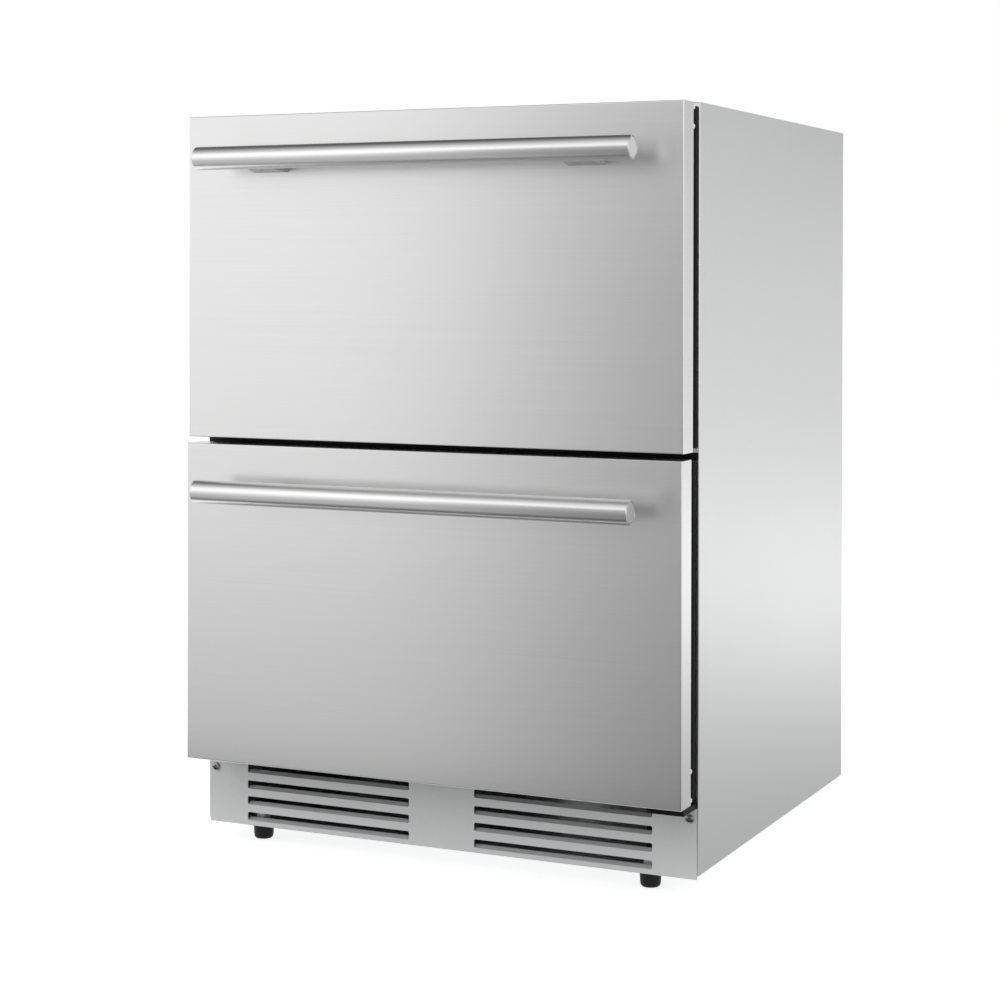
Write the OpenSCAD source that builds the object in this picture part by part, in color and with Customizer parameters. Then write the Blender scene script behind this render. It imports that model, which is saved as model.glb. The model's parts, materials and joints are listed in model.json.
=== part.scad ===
// Undercounter refrigerator with two stainless drawers, bar handles and a louvred base grille.
// Millimetres. +Z up, the drawers open towards -Y, and the feet stand on Z = 0.
// Sizes are first laid out from the cabinet's front plane, then moved so that the origin is
// in the middle of the footprint.

/* [Cabinet] */
// Overall width of the cabinet
cab_w = 600; // [570:1:700]
// Height of the cabinet's top above the floor
cab_h = 830; // [800:1:900]
// Depth of the cabinet behind its front plane
cab_d = 527; // [515:1:600]
// Height of the side panels' lower edge above the floor
floor_gap = 22; // [20:1:26]
// Thickness of the outer steel sheet
sheet = 1; // [0.8:0.1:1.4]
// Width of the folded flange on the front edges of the side panels
flange_w = 10; // [8:1:12]
// Width of the folded flange on the rear edges of the side panels
rear_flange_w = 15; // [12:1:20]
// Height of the base, up to the lower front
base_h = 100; // [98:1:112]
// Thickness of the insulated side walls, steel and liner included
wall_t = 40; // [34:1:46]
// Thickness of the insulated top, steel and liner included
top_t = 42; // [34:1:50]
// Thickness of the insulated back, steel and liner included
back_t = 48; // [44:1:52]
// Thickness of the insulated floor over the base
floor_t = 40; // [34:1:44]
// Thickness of the plastic liner
liner_t = 2; // [1.5:0.1:2.5]
// Depth of the black frame round the mouth of the cabinet
breaker_t = 3; // [2:0.5:4]
// Height of the notch in the side panels' rear edge above the floor
edge_notch_z = 164; // [120:1:200]

/* [Machine room] */
// Depth of the machine room at the rear
mach_d = 190; // [184:1:200]
// Height of the machine room's roof above the floor
mach_top = 300; // [285:1:310]
// Thickness of the insulation round the machine room
mach_wall = 30; // [26:1:34]
// Diameter of the compressor's shell
compressor_d = 144; // [136:1:148]
// Height of the compressor's shell
compressor_h = 150; // [135:1:152]
// Diameter of the condenser fan
cond_fan_d = 140; // [120:1:144]
// Blades on each fan
fan_blades = 5; // [4:1:7]
// Fins on the condenser
cond_fins = 16; // [10:1:20]
// Fins on the evaporator
evap_fins = 18; // [12:1:24]
// Diameter of the evaporator fan
evap_fan_d = 100; // [80:1:106]

/* [Drawer fronts] */
// Distance of each front's side edge inside the cabinet's side
front_inset = 1; // [0.5:0.5:4]
// Height of the lower front
lower_front_h = 359; // [352:1:366]
// Gap between the two fronts
fronts_gap = 7; // [5:0.5:9]
// Distance of the upper front's top edge below the cabinet's top
top_reveal = 1; // [0:0.5:4]
// Depth of the folded steel front
front_t = 29; // [24:1:34]
// Thickness of the steel in the fronts
front_steel = 1; // [0.8:0.1:1.5]
// Radius of the folded edges of the fronts
fold_r = 1.6; // [1.2:0.1:2.5]
// Depth of the magnetic seal between a front and the cabinet
seal_t = 16; // [13:0.5:18]
// Width of the magnetic seal
seal_w = 24; // [20:1:26]
// Distance of the seal inside the sides of the front
seal_inset_x = 1.5; // [1:0.5:3]
// Distance of the seal inside the top and bottom of the front
seal_inset_z = 3.5; // [3:0.5:6]
// How far the lower drawer stands open at rest
ajar = 4; // [0:0.5:8]

/* [Handles] */
// Diameter of the handle bars
bar_d = 26; // [20:1:30]
// Length of the handle bars
bar_len = 520; // [450:1:560]
// Drop from a front's top edge to the bar's axis
bar_drop = 50; // [36:1:70]
// Reach of the bar's axis from the face of the front
bar_reach = 43.5; // [38:0.5:50]
// Distance of each post from the middle
post_x = 191; // [150:1:210]
// Width of a post against the front
post_w = 42; // [36:1:50]
// Width of a post against the bar
post_tip_w = 28; // [22:1:34]
// Reach of a post below the bar's axis
post_down = 15; // [11:0.5:18]
// Reach of a post above the bar's axis
post_up = 7; // [5:0.5:10]

/* [Base grille] */
// Height of the grille's lower edge above the floor
grille_z0 = 18; // [16:0.5:20]
// Thickness of the grille sheet
grille_t = 1.2; // [1:0.1:1.5]
// Gap between the grille and each side panel
grille_side_gap = 1.5; // [1:0.1:2]
// Louvres in each group
louvres = 4; // [2:1:4]
// Length of a louvre slot
louvre_len = 208.5; // [150:0.5:214]
// Height of a louvre slot
louvre_h = 9.3; // [7:0.1:10.5]
// Pitch of the louvre slots
louvre_pitch = 18.2; // [16:0.1:18.5]
// Height of the top slot's upper edge above the floor
louvre_top = 87.5; // [86:0.5:89]
// Distance from the middle to the near end of a slot
louvre_inner_x = 40; // [30:1:46]
// Width of the sloping lip in a slot
lip_w = 7; // [4:0.5:8]
// Lean of the sloping lip from the vertical
lip_lean = 65; // [45:1:75]

/* [Feet] */
// Distance of the feet inside the cabinet's sides
foot_inset = 61; // [50:1:70]
// Distance of the front feet behind the front plane
foot_y = 20; // [20:1:30]
// Distance of the rear feet in front of the back
foot_rear_y = 30; // [26:1:34]
// Diameter of the foot pad's upper part
foot_d = 27; // [24:1:30]
// Diameter of the foot pad where it meets the floor
foot_tip_d = 17; // [15:1:20]
// Diameter of the levelling stud
stud_d = 8; // [6:1:10]
// Length of the levelling stud inside the base
stud_len = 45; // [35:1:55]

/* [Drawer tubs and slides] */
// Thickness of the tub walls
tub_t = 2; // [1.5:0.1:2.5]
// Height of the upper tub
upper_tub_h = 180; // [140:1:230]
// Room above the lower tub, under the bar across the cabinet
lower_tub_room = 10; // [8:1:28]
// Room between the tub and what it passes
tub_gap = 8; // [6:0.5:10]
// Height of the bar across the cabinet between the drawers
mullion_h = 50; // [44:1:54]
// Depth of the bar across the cabinet between the drawers
mullion_d = 57; // [40:1:70]
// Height of a slide's outer member
slide_h = 45; // [42:1:48]
// Thickness of a closed slide
slide_t = 12.7; // [12:0.1:13.5]
// Steel thickness of the slide members
slide_steel = 1.2; // [1:0.1:1.4]
// Room between the tubs' rear ends and the evaporator's cover
rear_room = 11; // [8:1:30]
// Setback of the slides behind the front plane
slide_y0 = 8; // [7:0.5:12]
// Running gap in the slides' tracks
track_gap = 0.3; // [0.25:0.05:0.4]

/* [Hidden] */

$fn = 48;
FINE = 96;
COARSE = 24;

STEEL = [0.74, 0.75, 0.76];
FRONT_STEEL = [0.80, 0.80, 0.79];
GALVANISED = [0.62, 0.64, 0.66];
GRILLE_GREY = [0.66, 0.67, 0.68];
BLACK = [0.12, 0.12, 0.13];
WHITE = [0.93, 0.93, 0.92];
FOAM = [0.90, 0.84, 0.62];
COPPER = [0.75, 0.45, 0.28];
CLEAR = [0.85, 0.92, 0.95];

// Small clearances and allowances
TOUCH = 0.2;          // between sheets that lie against each other
RUN = 0.08;           // radial running clearance of a shaft
CUT = 1;              // how far a cut runs past a face

// Cabinet
half_w = cab_w / 2;
shell_x = half_w - sheet;
shell_y1 = cab_d - 2 * sheet;
shell_z1 = cab_h - sheet;
cavity_x = half_w - wall_t;
cavity_z0 = base_h + floor_t;
cavity_z1 = cab_h - top_t;
cavity_y1 = cab_d - back_t;
mach_y0 = cab_d - mach_d;
evap_room = 38;
evap_cover_y = cavity_y1 - evap_room;
hump_y = mach_y0 - mach_wall;
hump_z = mach_top + mach_wall;
plate_z1 = base_h - 0.5;
plate_z0 = plate_z1 - sheet;
edge_notch_h = 6;
edge_notch_d = 2;

// Base
pan_t = 2;
pan_flange_h = 28;
pan_top = floor_gap + pan_t;
tab_w = 22;
tab_top = plate_z0 - 6.5;
pan_y0 = grille_t + lip_w + 1.8;
nut_h = 12;
nut_d = 18;

// Screws that hold the panels
screw_d = 4;
screw_head_d = 9.4;
screw_head_h = 2.5;
screw_len = 9;
grille_screw_inset = 9.5;
grille_screw_drop = 19;
grille_screw_x = half_w - grille_screw_inset;
grille_screw_z = base_h - grille_screw_drop;
rear_screw_x = half_w - rear_flange_w / 2;
rear_screw_inset = 45;
rear_screw_z = [
    floor_gap + rear_screw_inset, mach_top - rear_screw_inset, mach_top + rear_screw_inset,
    (mach_top + cab_h) / 2, cab_h - rear_screw_inset
];

// Corner bracket under the lower front
bracket_inset = 2;
bracket_w = 40.5;
bracket_x1 = half_w - bracket_inset;
bracket_x0 = bracket_x1 - bracket_w;
bracket_reach = 39;
bracket_back = 40;
bracket_t = 6;
bracket_screw_in = 12;
bracket_screw_y = [14, 28];
bracket_screws = [
    [bracket_x0 + bracket_screw_in, bracket_screw_y[0]],
    [bracket_x1 - bracket_screw_in, bracket_screw_y[1]]
];

// Grille
grille_x = half_w - grille_side_gap;
grille_z1 = plate_z0 - 0.5;
grille_lip_d = 12;
slot_r = 2;

// Air slots in the rear grille and in the evaporator's cover
vent_rows = 8;
vent_w = 190;
vent_h = 6;
vent_pitch = 14;
vent_x = 24;
vent_rise = 44;
vent_z0 = floor_gap + vent_rise;

// Fronts
face_y = -(seal_t + front_t);
front_half = half_w - front_inset;
front_w = 2 * front_half;
lower_front_z0 = base_h;
upper_front_z0 = base_h + lower_front_h + fronts_gap;
upper_front_z1 = cab_h - top_reveal;
upper_front_h = upper_front_z1 - upper_front_z0;
cover_t = 2;
cover_rise = 8;
cover_margin_x = front_half - cavity_x + 8;
cover_margin_z = seal_inset_z + seal_w + 2.5;
seal_rest = 0.2;
seal_foot_t = seal_t * 0.31;
seal_head_t = seal_t * 0.33;
seal_waist_in = seal_w / 6;
seal_screw_d = 3.6;
seal_screw_h = 1.2;
seal_screw_inset = 5;
upper_seal_screws_z = [upper_front_h - seal_screw_inset, upper_front_h - 5 * seal_screw_inset];
lower_seal_screws_z = [seal_screw_inset, 7 * seal_screw_inset];

// Bars
bar_y = face_y - bar_reach;
bar_r = bar_d / 2;
bar_chamfer = 1;
set_screw_d = 5;
set_screw_x = 4;
set_screw_y = 12;
bolt_d = 6;
bolt_len = 20;
bolt_head_d = 11;
bolt_head_h = 4;
bolt_z = -3;
post_tip_up = 0.8;    // height of a post above the axis at its tip, as a share of that at its root
post_tip_down = 0.6;  // the same below the axis

// Bar across the cabinet, level with the gap between the fronts
mullion_z0 = upper_front_z0 - fronts_gap / 2 - mullion_h / 2 + 2.5;
mullion_z1 = mullion_z0 + mullion_h;
ridge_d = 2;
ridge_z0 = lower_front_z0 + lower_front_h - seal_inset_z + 1;
ridge_z1 = upper_front_z0 - 1.4;

// Tubs
tub_step_room = 4;    // more room over the step than beside it
tub_x = cavity_x - slide_t;
tub_y0 = -seal_t + cover_rise;
tub_y1 = evap_cover_y - rear_room;
upper_tub_z0 = mullion_z1 + tub_gap;
upper_tub_z1 = upper_tub_z0 + upper_tub_h;
lower_tub_z0 = cavity_z0 + tub_gap;
lower_tub_z1 = mullion_z0 - lower_tub_room;
tub_step_y = hump_y - tub_gap;
tub_step_z = hump_z + tub_gap + tub_step_room;
rim_w = 4;

// Slides
upper_slide_rise = 60;    // from the upper tub's floor to its slides' middle
lower_slide_drop = 38;    // from the lower tub's rim to its slides' middle
track_end = 2;
slide_len = tub_y1 - slide_y0 - track_end;
upper_slide_z = upper_tub_z0 + upper_slide_rise;
lower_slide_z = lower_tub_z1 - lower_slide_drop;
outer_lip = 9;
middle_x = 2.2;
middle_half_h = slide_h / 2 - 4;
middle_lip = 7;
inner_half_h = middle_half_h - 4;
inner_lip = 6;
bead_w = 2.5;
outer_bead_x = cavity_x - outer_lip + track_end;
inner_bead_x = cavity_x - middle_x - middle_lip;

// Feet
pad_tip_h = 4;
pad_taper_h = 8;
pad_top = floor_gap - 1;
foot_x = half_w - foot_inset;
foot_places = [for (side = [-1, 1], y = [foot_y, cab_d - foot_rear_y]) [side * foot_x, y]];

// Machine room: the compressor stands on the right, the condenser and its fan on the left
compressor_inset = 150;
compressor_x = half_w - compressor_inset;
compressor_y = mach_y0 + mach_d / 2;
compressor_r = compressor_d / 2;
foot_bevel = 12;
seam_z = compressor_h * 0.43;
seam_h = 4;
dome_h = 40;
crown_r = 32;
mount_x = 66;
mount_y = 45;
mount_h = 16;
mount_d = 24;
mount_bolt_d = 6;
plate_w = 160;
plate_d = 116;
plate_t = 3;
shell_z0 = pan_top + mount_h + plate_t;
compressor_top = shell_z0 + compressor_h;
stub_d = 10;
stub_reach = 90;
discharge_y = compressor_y;
discharge_z = shell_z0 + 0.58 * compressor_h;
suction_y = compressor_y + 2 * stub_d;
suction_z = shell_z0 + 0.38 * compressor_h;

cond_inset = 100;
cond_width = 40;
cond_front_room = 23;
cond_rear_room = 31;
cond_x = [-half_w + cond_inset, -half_w + cond_inset + cond_width];
cond_y0 = mach_y0 + cond_front_room;
cond_len = mach_d - cond_front_room - cond_rear_room;
cond_pitch = 30;
cond_rows = 5;
cond_rise = 31;
cond_z0 = pan_top + cond_rise;
cond_tube_d = 8;
cond_fin_t = 0.8;
cond_margin = 16;
cond_end = 3;
cond_fin_inset = 10;
cond_fin_pitch = (cond_len - 2 * cond_fin_inset) / (cond_fins - 1);
cond_top = cond_z0 + (cond_rows - 1) * cond_pitch;

fan_room = 62;        // from the condenser's rear row to the fan's middle
fan_rise = 91;
fan_x = cond_x[1] + fan_room;
fan_y = compressor_y;
fan_z = pan_top + fan_rise;
fan_depth = 18;
fan_hub_d = 40;
fan_gap = 3;
fan_blade_t = 1.6;
fan_pitch = 32;
shaft_d = 5;
motor_d = 48;
motor_h = 30;
shroud_half_y = 84;
shroud_half_z = 80;
shroud_t = 3;
rim_t = 3;
arm_w = 8;
arm_t = 4;
shroud_bore = cond_fan_d + 2 * fan_gap;
shroud_lead = 7;
shroud_x0 = fan_x - fan_depth / 2 - shroud_lead;
fan_x1 = fan_x + fan_depth / 2;
arm_x0 = fan_x1 + arm_t;
motor_x0 = arm_x0 + arm_t;
motor_bore = 0.7;     // share of a motor's length that is bored
shaft_reach = 0.6;    // share of a motor's length that the shaft fills

line_d = 6;
capillary_d = 3;
channel_gap = 0.3;
drier_d = 20;
drier_len = 90;
drier_room = 74;      // from the fan's middle to the drier
drier_front_room = 30;
drier_rise = 56;
drier_x = fan_x + drier_room;
drier_y0 = mach_y0 + drier_front_room;
drier_z = pan_top + drier_rise;
drier_cone = 10;

tray_half_x = 90;
tray_rise = 13;
tray_h = 25;
tray_t = 2;
tray_room = 10;
tray_z0 = compressor_top + tray_rise;
tray_y0 = mach_y0 + tray_room;
tray_y1 = shell_y1 - tray_room;
tray_boss_d = 2 * crown_r - 4;
drip_inset = 18;
drip_x = compressor_x;
drip_y = cavity_y1 - drip_inset;
drip_d = 12;
drip_bore = 9;
drip_z0 = tray_z0 + 4 * tray_t;

// Evaporator behind its cover in the upper rear of the cabinet
evap_cover_t = 2;
evap_y = cavity_y1 - evap_room / 2;
evap_half = 140;
evap_rows = 5;
evap_pitch = 25;
evap_rise = 250;
evap_z0 = hump_z + evap_rise;
evap_fin_d = 26;
evap_fin_t = 0.8;
evap_fin_y = evap_y - evap_fin_d / 2;
evap_fin_y1 = evap_y + evap_fin_d / 2;
evap_margin = 12;
evap_fan_rise = 120;
evap_fan_z = hump_z + evap_fan_rise;
evap_fan_depth = 12;
evap_top = evap_z0 + (evap_rows - 1) * evap_pitch;
evap_motor_d = 44;
evap_motor_gap = 2;
evap_motor_len = evap_room - evap_cover_t - fan_gap - evap_fan_depth - evap_motor_gap;
evap_fan_y = evap_cover_y + evap_cover_t + fan_gap;
evap_fin_inset = 12;
evap_fin_pitch = 2 * (evap_half - evap_fin_inset) / (evap_fins - 1);
guard_bar = 4;
guard_pitch = 10;
outlet_rows = 3;
outlet_w = 150;
outlet_x = 20;
outlet_drop = 60;

// Lamp and control panel in the ceiling, control box in the machine room
lamp_half = 150;
lamp_y0 = 130;
lamp_d = 30;
lamp_t = 5;
panel_half = 95;
panel_y0 = 30;
panel_d = 55;
panel_t = 6;
box_w = 46;
box_x0 = half_w - box_w - 6;
box_d = 61;
box_h = 90;

// Cord gland
gland_inset = 60;
gland_x = -half_w + gland_inset;
gland_z = mach_top - gland_inset;
gland_d = 20;
gland_bore = 8;
gland_len = 18;
gland_collar_d = 27;
gland_collar_t = 3;

// The refrigerant's way: compressor, condenser, drier, evaporator and back
line_room = 15;
line_run = 40;
line_y = mach_y0 + line_room;
line_x = compressor_x - stub_reach - line_run;
riser_y = (cavity_y1 + shell_y1) / 2 - 2;
evap_side = evap_half + evap_pitch;
discharge_top = cond_top + line_run;
liquid_top = cond_top + 1.5 * line_run;
capillary_rise = mach_top + mach_wall / 2 - 1;
suction_rise = capillary_rise + 8;
suction_x = line_x + line_run / 2;
discharge_path = [
    [compressor_x - stub_reach, discharge_y, discharge_z], [line_x, discharge_y, discharge_z],
    [line_x, line_y, discharge_z], [line_x, line_y, discharge_top],
    [cond_x[1], line_y, discharge_top], [cond_x[1], line_y, cond_top], [cond_x[1], cond_y0, cond_top]
];
liquid_y = drier_y0 - drier_cone / 2;
liquid_path = [
    [cond_x[0], cond_y0, cond_top], [cond_x[0], line_y, cond_top], [cond_x[0], line_y, liquid_top],
    [cond_x[0], liquid_y, liquid_top], [drier_x, liquid_y, liquid_top],
    [drier_x, liquid_y, drier_z], [drier_x, drier_y0, drier_z]
];
capillary_path = [
    [drier_x, drier_y0 + drier_len, drier_z], [drier_x, riser_y, drier_z],
    [drier_x, riser_y, capillary_rise], [-evap_side, riser_y, capillary_rise],
    [-evap_side, riser_y, evap_z0], [-evap_side, evap_y, evap_z0], [-evap_half, evap_y, evap_z0]
];
suction_path = [
    [evap_half, evap_y, evap_top], [evap_side, evap_y, evap_top], [evap_side, riser_y, evap_top],
    [evap_side, riser_y, suction_rise], [suction_x, riser_y, suction_rise],
    [suction_x, riser_y, suction_z], [suction_x, suction_y, suction_z],
    [compressor_x - stub_reach, suction_y, suction_z]
];

// The whole object, moved so that the origin is in the middle of its footprint
front_most = bar_y - bar_r - ajar;
rear_most = cab_d + screw_head_h;
centre_y = -(front_most + rear_most) / 2;

// ---------- plain shapes ----------

// Box between two opposite corners
module block(low, high) translate(low) cube(high - low);

// Box that is the same to the left and right of the middle
module wide_block(half, y, z) block([-half, y[0], z[0]], [half, y[1], z[1]]);

// Profile in Y and Z, drawn out along X
module along_x(half) rotate([90, 0, 90]) translate([0, 0, -half]) linear_extrude(2 * half) children();

// Cylinder along Y, starting at a point
module rod_y(at, d, len) translate(at) rotate([-90, 0, 0]) cylinder(d = d, h = len);

// Cylinder along X, starting at a point
module rod_x(at, d, len) translate(at) rotate([0, 90, 0]) cylinder(d = d, h = len);

// Cylinder along Z, starting at a point
module rod_z(at, d, len) translate(at) cylinder(d = d, h = len);

// Flat rectangle with round corners, from its lower left corner
module round_rect(w, h, r) {
    translate([r, 0]) square([w - 2 * r, h]);
    translate([0, r]) square([w, h - 2 * r]);
    for (x = [r, w - r], y = [r, h - r]) translate([x, y]) circle(r, $fn = COARSE);
}

// Pan head screw whose shank runs towards +Y from the seat
module pan_screw(d, head_d, head_h, len) {
    rod_y([0, 0, 0], d, len);
    rotate([90, 0, 0]) cylinder(d1 = head_d, d2 = head_d * 0.7, h = head_h);
}

// Tube that follows straight runs between points, with round corners
module tube_run(points, d) {
    for (i = [0:len(points) - 2]) {
        run = points[i + 1] - points[i];
        length = norm(run);
        translate(points[i])
            rotate([0, acos(run[2] / length), atan2(run[1], run[0])])
                cylinder(d = d, h = length, $fn = COARSE);
    }
    for (i = [1:1:len(points) - 2]) translate(points[i]) sphere(d = d, $fn = COARSE);
}

// Half ring that joins two parallel tubes, in the plane of X and Y
module return_bend(pitch, d)
    rotate_extrude(angle = 180, $fn = FINE) translate([pitch / 2, 0]) circle(d = d, $fn = COARSE);

// Puts what is laid out from the cabinet's front plane into its final place
module placed() translate([0, centre_y, 0]) children();

// ---------- cabinet ----------

module rear_screw_holes(d)
    for (side = [-1, 1], z = rear_screw_z)
        rod_y([side * rear_screw_x, cab_d - screw_len - CUT, z], d, screw_len + 2 * CUT);

module side_panel(side) mirror([side < 0 ? 1 : 0, 0, 0]) difference() {
    union() {
        block([shell_x, 0, floor_gap], [half_w, cab_d, cab_h]);
        block([half_w - flange_w, 0, base_h], [half_w, sheet, shell_z1]);
        block([half_w - rear_flange_w, cab_d - sheet, floor_gap], [half_w, cab_d, shell_z1]);
    }
    block([half_w - 2 * edge_notch_d, cab_d - edge_notch_d, edge_notch_z - edge_notch_h / 2],
        [half_w + CUT, cab_d + CUT, edge_notch_z + edge_notch_h / 2]);
    rear_screw_holes(screw_d + 2 * TOUCH);
}

module side_panel_left() color(STEEL) placed() side_panel(-1);

module side_panel_right() color(STEEL) placed() side_panel(1);

module top_panel() color(STEEL) placed() {
    wide_block(shell_x, [0, cab_d], [shell_z1, cab_h]);
    wide_block(half_w - flange_w, [0, sheet], [cab_h - flange_w, cab_h]);
}

module back_panel() color(GALVANISED) placed() difference() {
    wide_block(shell_x - TOUCH, [shell_y1, shell_y1 + sheet], [mach_top, shell_z1 - TOUCH]);
    rear_screw_holes(screw_d + 2 * TOUCH);
}

module compressor_mount_places()
    for (x = [-mount_x, mount_x], y = [-mount_y, mount_y])
        translate([compressor_x + x, compressor_y + y, 0]) children();

module base_pan() color(GALVANISED) placed() difference() {
    union() {
        wide_block(shell_x, [pan_y0, shell_y1], [floor_gap, pan_top]);
        wide_block(shell_x, [shell_y1 - pan_t, shell_y1], [floor_gap, floor_gap + pan_flange_h]);
        for (side = [0, 1]) mirror([side, 0, 0]) {
            block([shell_x - pan_t, pan_y0, floor_gap], [shell_x, shell_y1, floor_gap + pan_flange_h]);
            block([shell_x - tab_w, grille_t, floor_gap], [shell_x, grille_t + pan_t, tab_top]);
            block([shell_x - tab_w, grille_t, floor_gap], [shell_x, pan_y0 + CUT, pan_top]);
        }
        for (at = foot_places)
            translate([at[0], at[1], floor_gap]) cylinder(d = nut_d, h = pan_t + nut_h, $fn = 6);
    }
    for (at = foot_places)
        rod_z([at[0], at[1], floor_gap - CUT], stud_d + 2 * RUN, pan_t + nut_h + 2 * CUT);
    compressor_mount_places() rod_z([0, 0, floor_gap - CUT], mount_bolt_d + 2 * TOUCH, pan_t + 2 * CUT);
    for (side = [-1, 1]) rod_y([side * grille_screw_x, 0, grille_screw_z], screw_d + 2 * TOUCH, pan_y0);
}

// Where the refrigerant and melt water pass through the insulation
module line_channels() {
    tube_run(suction_path, line_d + 2 * channel_gap);
    tube_run(capillary_path, capillary_d + 2 * channel_gap);
    rod_z([drip_x, drip_y, tray_z0 + tray_h], drip_d + 2 * channel_gap, hump_z - tray_z0);
}

// Stepped plate between the base and the insulation, with the web that parts the two air ways
module step_plate() color(GALVANISED) placed() difference() {
    union() {
        along_x(shell_x) polygon([
            [breaker_t, plate_z0], [mach_y0 + sheet, plate_z0],
            [mach_y0 + sheet, mach_top - sheet], [shell_y1, mach_top - sheet],
            [shell_y1, mach_top], [mach_y0, mach_top], [mach_y0, plate_z1], [breaker_t, plate_z1]
        ]);
        wide_block(sheet / 2, [pan_y0, mach_y0 + sheet], [pan_top, plate_z1]);
    }
    line_channels();
    for (at = bracket_screws) rod_z([at[0], at[1], plate_z0 - CUT], screw_d + 2 * TOUCH, sheet + 2 * CUT);
}

// Outline of the cold space from the side: the step at the rear clears the machine room
module cavity_outline(y0, grow) polygon([
    [y0, cavity_z0 - grow], [hump_y + grow, cavity_z0 - grow],
    [hump_y + grow, hump_z - grow], [cavity_y1 + grow, hump_z - grow],
    [cavity_y1 + grow, cavity_z1 + grow], [y0, cavity_z1 + grow]
]);

module cabinet_foam() color(FOAM) placed() difference() {
    along_x(shell_x) polygon([
        [breaker_t, plate_z1], [mach_y0, plate_z1], [mach_y0, mach_top],
        [shell_y1, mach_top], [shell_y1, shell_z1], [breaker_t, shell_z1]
    ]);
    along_x(cavity_x + liner_t) cavity_outline(breaker_t - CUT, liner_t);
    line_channels();
    rear_screw_holes(screw_d + 2 * TOUCH);
    for (at = bracket_screws) rod_z([at[0], at[1], plate_z0], screw_d + 2 * TOUCH, screw_len);
}

module cabinet_liner() color(WHITE) placed() difference() {
    along_x(cavity_x + liner_t) cavity_outline(breaker_t, liner_t);
    along_x(cavity_x) cavity_outline(breaker_t - CUT, 0);
    line_channels();
}

// Black frame that closes the insulation round the mouth and that the seals land on
module breaker_frame() color(BLACK) placed() difference() {
    wide_block(half_w - flange_w - TOUCH, [0, breaker_t], [plate_z1, cab_h - flange_w - TOUCH]);
    wide_block(cavity_x, [-CUT, breaker_t + CUT], [cavity_z0, cavity_z1]);
}

// Bar between the two mouths: its front ridge shows in the gap between the fronts
module mullion_bar() color(BLACK) placed() {
    wide_block(cavity_x, [0, breaker_t + mullion_d], [mullion_z0, mullion_z1]);
    wide_block(half_w - sheet / 2, [-ridge_d, 0], [ridge_z0, ridge_z1]);
}

module louvre_places()
    for (side = [0, 1], row = [0:louvres - 1]) mirror([side, 0, 0])
        translate([louvre_inner_x, 0, louvre_top - row * louvre_pitch - louvre_h]) children();

module kick_grille() color(GRILLE_GREY) placed() {
    difference() {
        union() {
            wide_block(grille_x, [0, grille_t], [grille_z0, grille_z1]);
            wide_block(grille_x, [0, grille_lip_d], [grille_z1 - grille_t, grille_z1]);
        }
        louvre_places()
            translate([0, grille_t + CUT, 0]) rotate([90, 0, 0])
                linear_extrude(grille_t + 2 * CUT) round_rect(louvre_len, louvre_h, slot_r);
        for (side = [-1, 1])
            rod_y([side * grille_screw_x, -CUT, grille_screw_z], screw_d + 2 * TOUCH, pan_y0);
        block([bracket_x0 - TOUCH, -CUT, plate_z0 - bracket_t - TOUCH],
            [half_w, grille_lip_d + CUT, plate_z0]);
    }
    louvre_places() rotate([-lip_lean, 0, 0]) cube([louvre_len, grille_t, lip_w]);
}

module panel_screws() color(STEEL) placed() {
    for (side = [-1, 1]) {
        translate([side * grille_screw_x, 0, grille_screw_z])
            pan_screw(screw_d, screw_head_d, screw_head_h, screw_len);
        for (z = rear_screw_z) translate([side * rear_screw_x, cab_d, z]) rotate([0, 0, 180])
            pan_screw(screw_d, screw_head_d, screw_head_h, screw_len);
    }
    for (at = bracket_screws) translate([at[0], at[1], plate_z0 - bracket_t]) rotate([90, 0, 0])
        pan_screw(screw_d, screw_head_d, screw_head_h, screw_len);
}

// Bracket at the right that reaches forward under the corner of the lower front
module corner_bracket() color(BLACK) placed() difference() {
    block([bracket_x0, -bracket_reach, plate_z0 - bracket_t], [bracket_x1, bracket_back, plate_z0]);
    for (at = bracket_screws)
        rod_z([at[0], at[1], plate_z0 - bracket_t - CUT], screw_d + 2 * TOUCH, bracket_t + 2 * CUT);
}

module rear_grille() color(GALVANISED) placed() difference() {
    wide_block(shell_x - TOUCH, [shell_y1, shell_y1 + sheet], [floor_gap, mach_top - TOUCH]);
    for (side = [0, 1], row = [0:vent_rows - 1]) mirror([side, 0, 0])
        translate([vent_x, shell_y1 + sheet + CUT, vent_z0 + row * vent_pitch]) rotate([90, 0, 0])
            linear_extrude(sheet + 2 * CUT) round_rect(vent_w, vent_h, slot_r);
    rear_screw_holes(screw_d + 2 * TOUCH);
    rod_y([gland_x, shell_y1 - CUT, gland_z], gland_d + TOUCH, sheet + 2 * CUT);
}

// Gland that a supply cord leaves by
module cord_gland() color(BLACK) placed() difference() {
    union() {
        rod_y([gland_x, shell_y1 + sheet + gland_collar_t - gland_len, gland_z], gland_d, gland_len);
        rod_y([gland_x, shell_y1 + sheet, gland_z], gland_collar_d, gland_collar_t);
    }
    rod_y([gland_x, shell_y1 - gland_len, gland_z], gland_bore, 2 * gland_len);
}

// ---------- machine room ----------

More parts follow.
